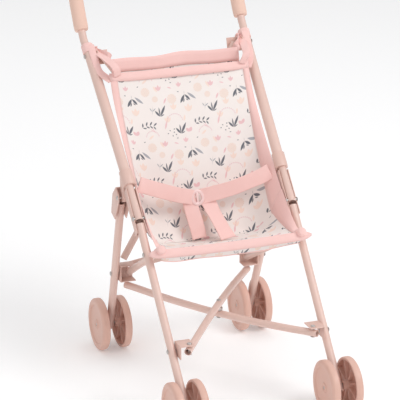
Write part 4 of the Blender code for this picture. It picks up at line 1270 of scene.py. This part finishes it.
for word, side in SIDES.items():
    low, high = end_centres(f"upper_tube_{word}")
    along = (high - low).normalized()
    tube = (side, low, along)
    centre = low + along * (LOOP_AT - TUBE_FOOT_AT)
    loop_shape = turned_shape(loop_profile, centre, along, 36, closed=True)
    uv = loop_shape.loops.layers.uv.new("UVMap")
    for face in loop_shape.faces:
        for corner in face.loops:
            offset = corner.vert.co - centre
            corner[uv].uv = (math.atan2(offset.x, offset.y) * LOOP_R, offset.dot(along))
    give(f"tape_loop_{word}", loop_shape, pink_cloth, f"upper_{word}")

    inner_corner = side_view(-0.0020, 0.4030, side * 0.0920)
    band(f"inner_tape_{word}", [beside(*tube, 0.272, 25, 8.8 * MM), beside(*tube, 0.264, 28, 9.6 * MM),
                                inner_corner + Vector((side * 0.006, -0.001, 0.016)), inner_corner],
         0.0105, across_hem, side * 0.15)
    outer_corner = side_view(-0.0005, 0.3965, side * 0.1015)
    band(f"outer_tape_{word}", [beside(*tube, 0.272, 75, 9.1 * MM), beside(*tube, 0.262, 78, 9.4 * MM),
                                beside(*tube, 0.246, 76, 9.3 * MM), beside(*tube, 0.228, 66, 9.3 * MM),
                                outer_corner],
         0.0095, across_hem, side * -0.2)
    bag_corner = side_view(0.0255, 0.4140, side * 0.0915)
    band(f"rear_tape_{word}", [beside(*tube, 0.273, -10, 8.8 * MM), beside(*tube, 0.267, -14, 10.0 * MM),
                               bag_corner + Vector((side * 0.006, 0.002, 0.010)), bag_corner],
         0.0125, along, side * -0.25)
print("tapes made")

# %% [markdown]
# ## Storage bag
# Behind the seat hangs an open bag of the same cotton: its front wall lies against the back of the
# seat, its rear wall bellies out, and both have a folded pink hem that sags between the corners. The
# two walls are one sheet that runs down the front, round the bottom and up the rear.

# %% The bag
BAG_HALF = 0.0870
BAG_SIDE = [(0.0075, 0.4000), (0.0010, 0.3850), (-0.0110, 0.3560), (-0.0240, 0.3260), (-0.0330, 0.3060),
            (-0.0350, 0.2990), (-0.0300, 0.2975), (-0.0230, 0.3060), (-0.0100, 0.3360), (0.0060, 0.3700),
            (0.0210, 0.4000), (0.0300, 0.4190)]
bag_line = smooth_line(BAG_SIDE, 96)
bag_length = line_length(bag_line)
bag_top = len(bag_line) - 1
bag_bottom = min(range(len(bag_line)), key=lambda i: bag_line[i].z)


def bag_point(step, across):
    """A point of the bag's wall: the mouth opens in the middle and closes at the side seams."""
    point = bag_line[step].copy()
    mouth = abs(step - bag_bottom) / max(bag_bottom, bag_top - bag_bottom)
    closing = abs(across) ** 4
    seam_y = (point.y + bag_line[bag_top - step].y) / 2
    sag = (1 - across * across) * mouth ** 3
    point.y += (seam_y - point.y) * closing * 0.55
    if step > bag_bottom:
        point.y += 0.0100 * sag + 0.0020 * sag * math.sin(across * 8.0)
        point.z += -0.0045 * sag + 0.0015 * sag * math.sin(across * 5.0 + 0.6)
    else:
        point.y += 0.0020 * sag * math.sin(across * 9.0)
        point.z -= 0.0040 * sag
    point.x = across * BAG_HALF * (1.0 + 0.10 * mouth)
    return point


BAG_ACROSS = 60
bag = bmesh.new()
uv = bag.loops.layers.uv.new("UVMap")
made = bmesh.ops.create_grid(bag, x_segments=BAG_ACROSS, y_segments=bag_top, size=1.0)
for vert in made["verts"]:
    across, step = vert.co.x, round((vert.co.y + 1) / 2 * bag_top)
    for corner in vert.link_loops:
        corner[uv].uv = (across * BAG_HALF, bag_length * step / bag_top)
    vert.co = bag_point(step, across)
bag.normal_update()
moves = []
for vert in bag.verts:
    place = Vector((vert.co.x * 30.0, vert.co.z * 14.0, 5.0 + vert.co.y * 9.0))
    moves.append(vert.normal * 1.4 * MM * wander.noise(place))
for vert, move in zip(bag.verts, moves):
    vert.co += move
bag_cloth = cloth_piece("storage_bag_cloth", bag, print_cloth, "upper_left",
                        ["storage_pocket"])

# %% The bag's two hems
HEM_PROUD, HEM_OVER = 1.4 * MM, 0.9 * MM
# steps down from the mouth on the face towards the sitter, over the edge (-1) and down the other face
for name, steps, width in (("front", (9, 6, 3, 0, -1, 0, 3, 6, 9), 0.010),
                           ("rear", (7, 5, 2, 0, -1, 0, 2, 5, 7), 0.009)):
    rows = []
    for number, step in enumerate(steps):
        if step < 0:
            shift = Vector((0.0, 0.0, HEM_OVER))
        else:
            shift = TO_SITTER * (HEM_PROUD if number < 4 else -HEM_PROUD)
        at_step = max(step, 0) if name == "front" else bag_top - max(step, 0)
        rows.append([bag_point(at_step, i / BAG_ACROSS * 2 - 1) + shift for i in range(BAG_ACROSS + 1)])
    values = [width * number / (len(steps) - 1) for number in range(len(steps))]
    cloth_piece(f"bag_hem_{name}", strip(rows, values), pink_cloth, "upper_left",
                thickness=0.6 * MM)
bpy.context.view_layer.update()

# %% [markdown]
# ## Where the cloth rides, and what it was cut from
# Each cloth piece and the ring ride on the left side, and the loops and the rail sleeves stay with their own
# tubes. Each of these cloth pieces and the ring is given a mesh of its own, and each sheet also states the size
# it was cut to before it was sewn in.

# %% Own meshes and flat sizes
cloths = [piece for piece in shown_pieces() if piece.data.materials[0] in (print_cloth, pink_cloth, ring_plastic)
          and not piece.name.startswith(("tape_loop", "rail_sleeve"))]
for piece in cloths:
    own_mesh(piece)


def cut_from(piece, length):
    """The flat width and length of a sheet, from its own area."""
    return sum(face.area for face in piece.data.polygons) / length, length


for piece, length in ((seat_back, back_length), (seat_pan, pan_length), (bag_cloth, bag_length)):
    print(piece.name, "was cut", [round(value, 3) for value in cut_from(piece, length)])
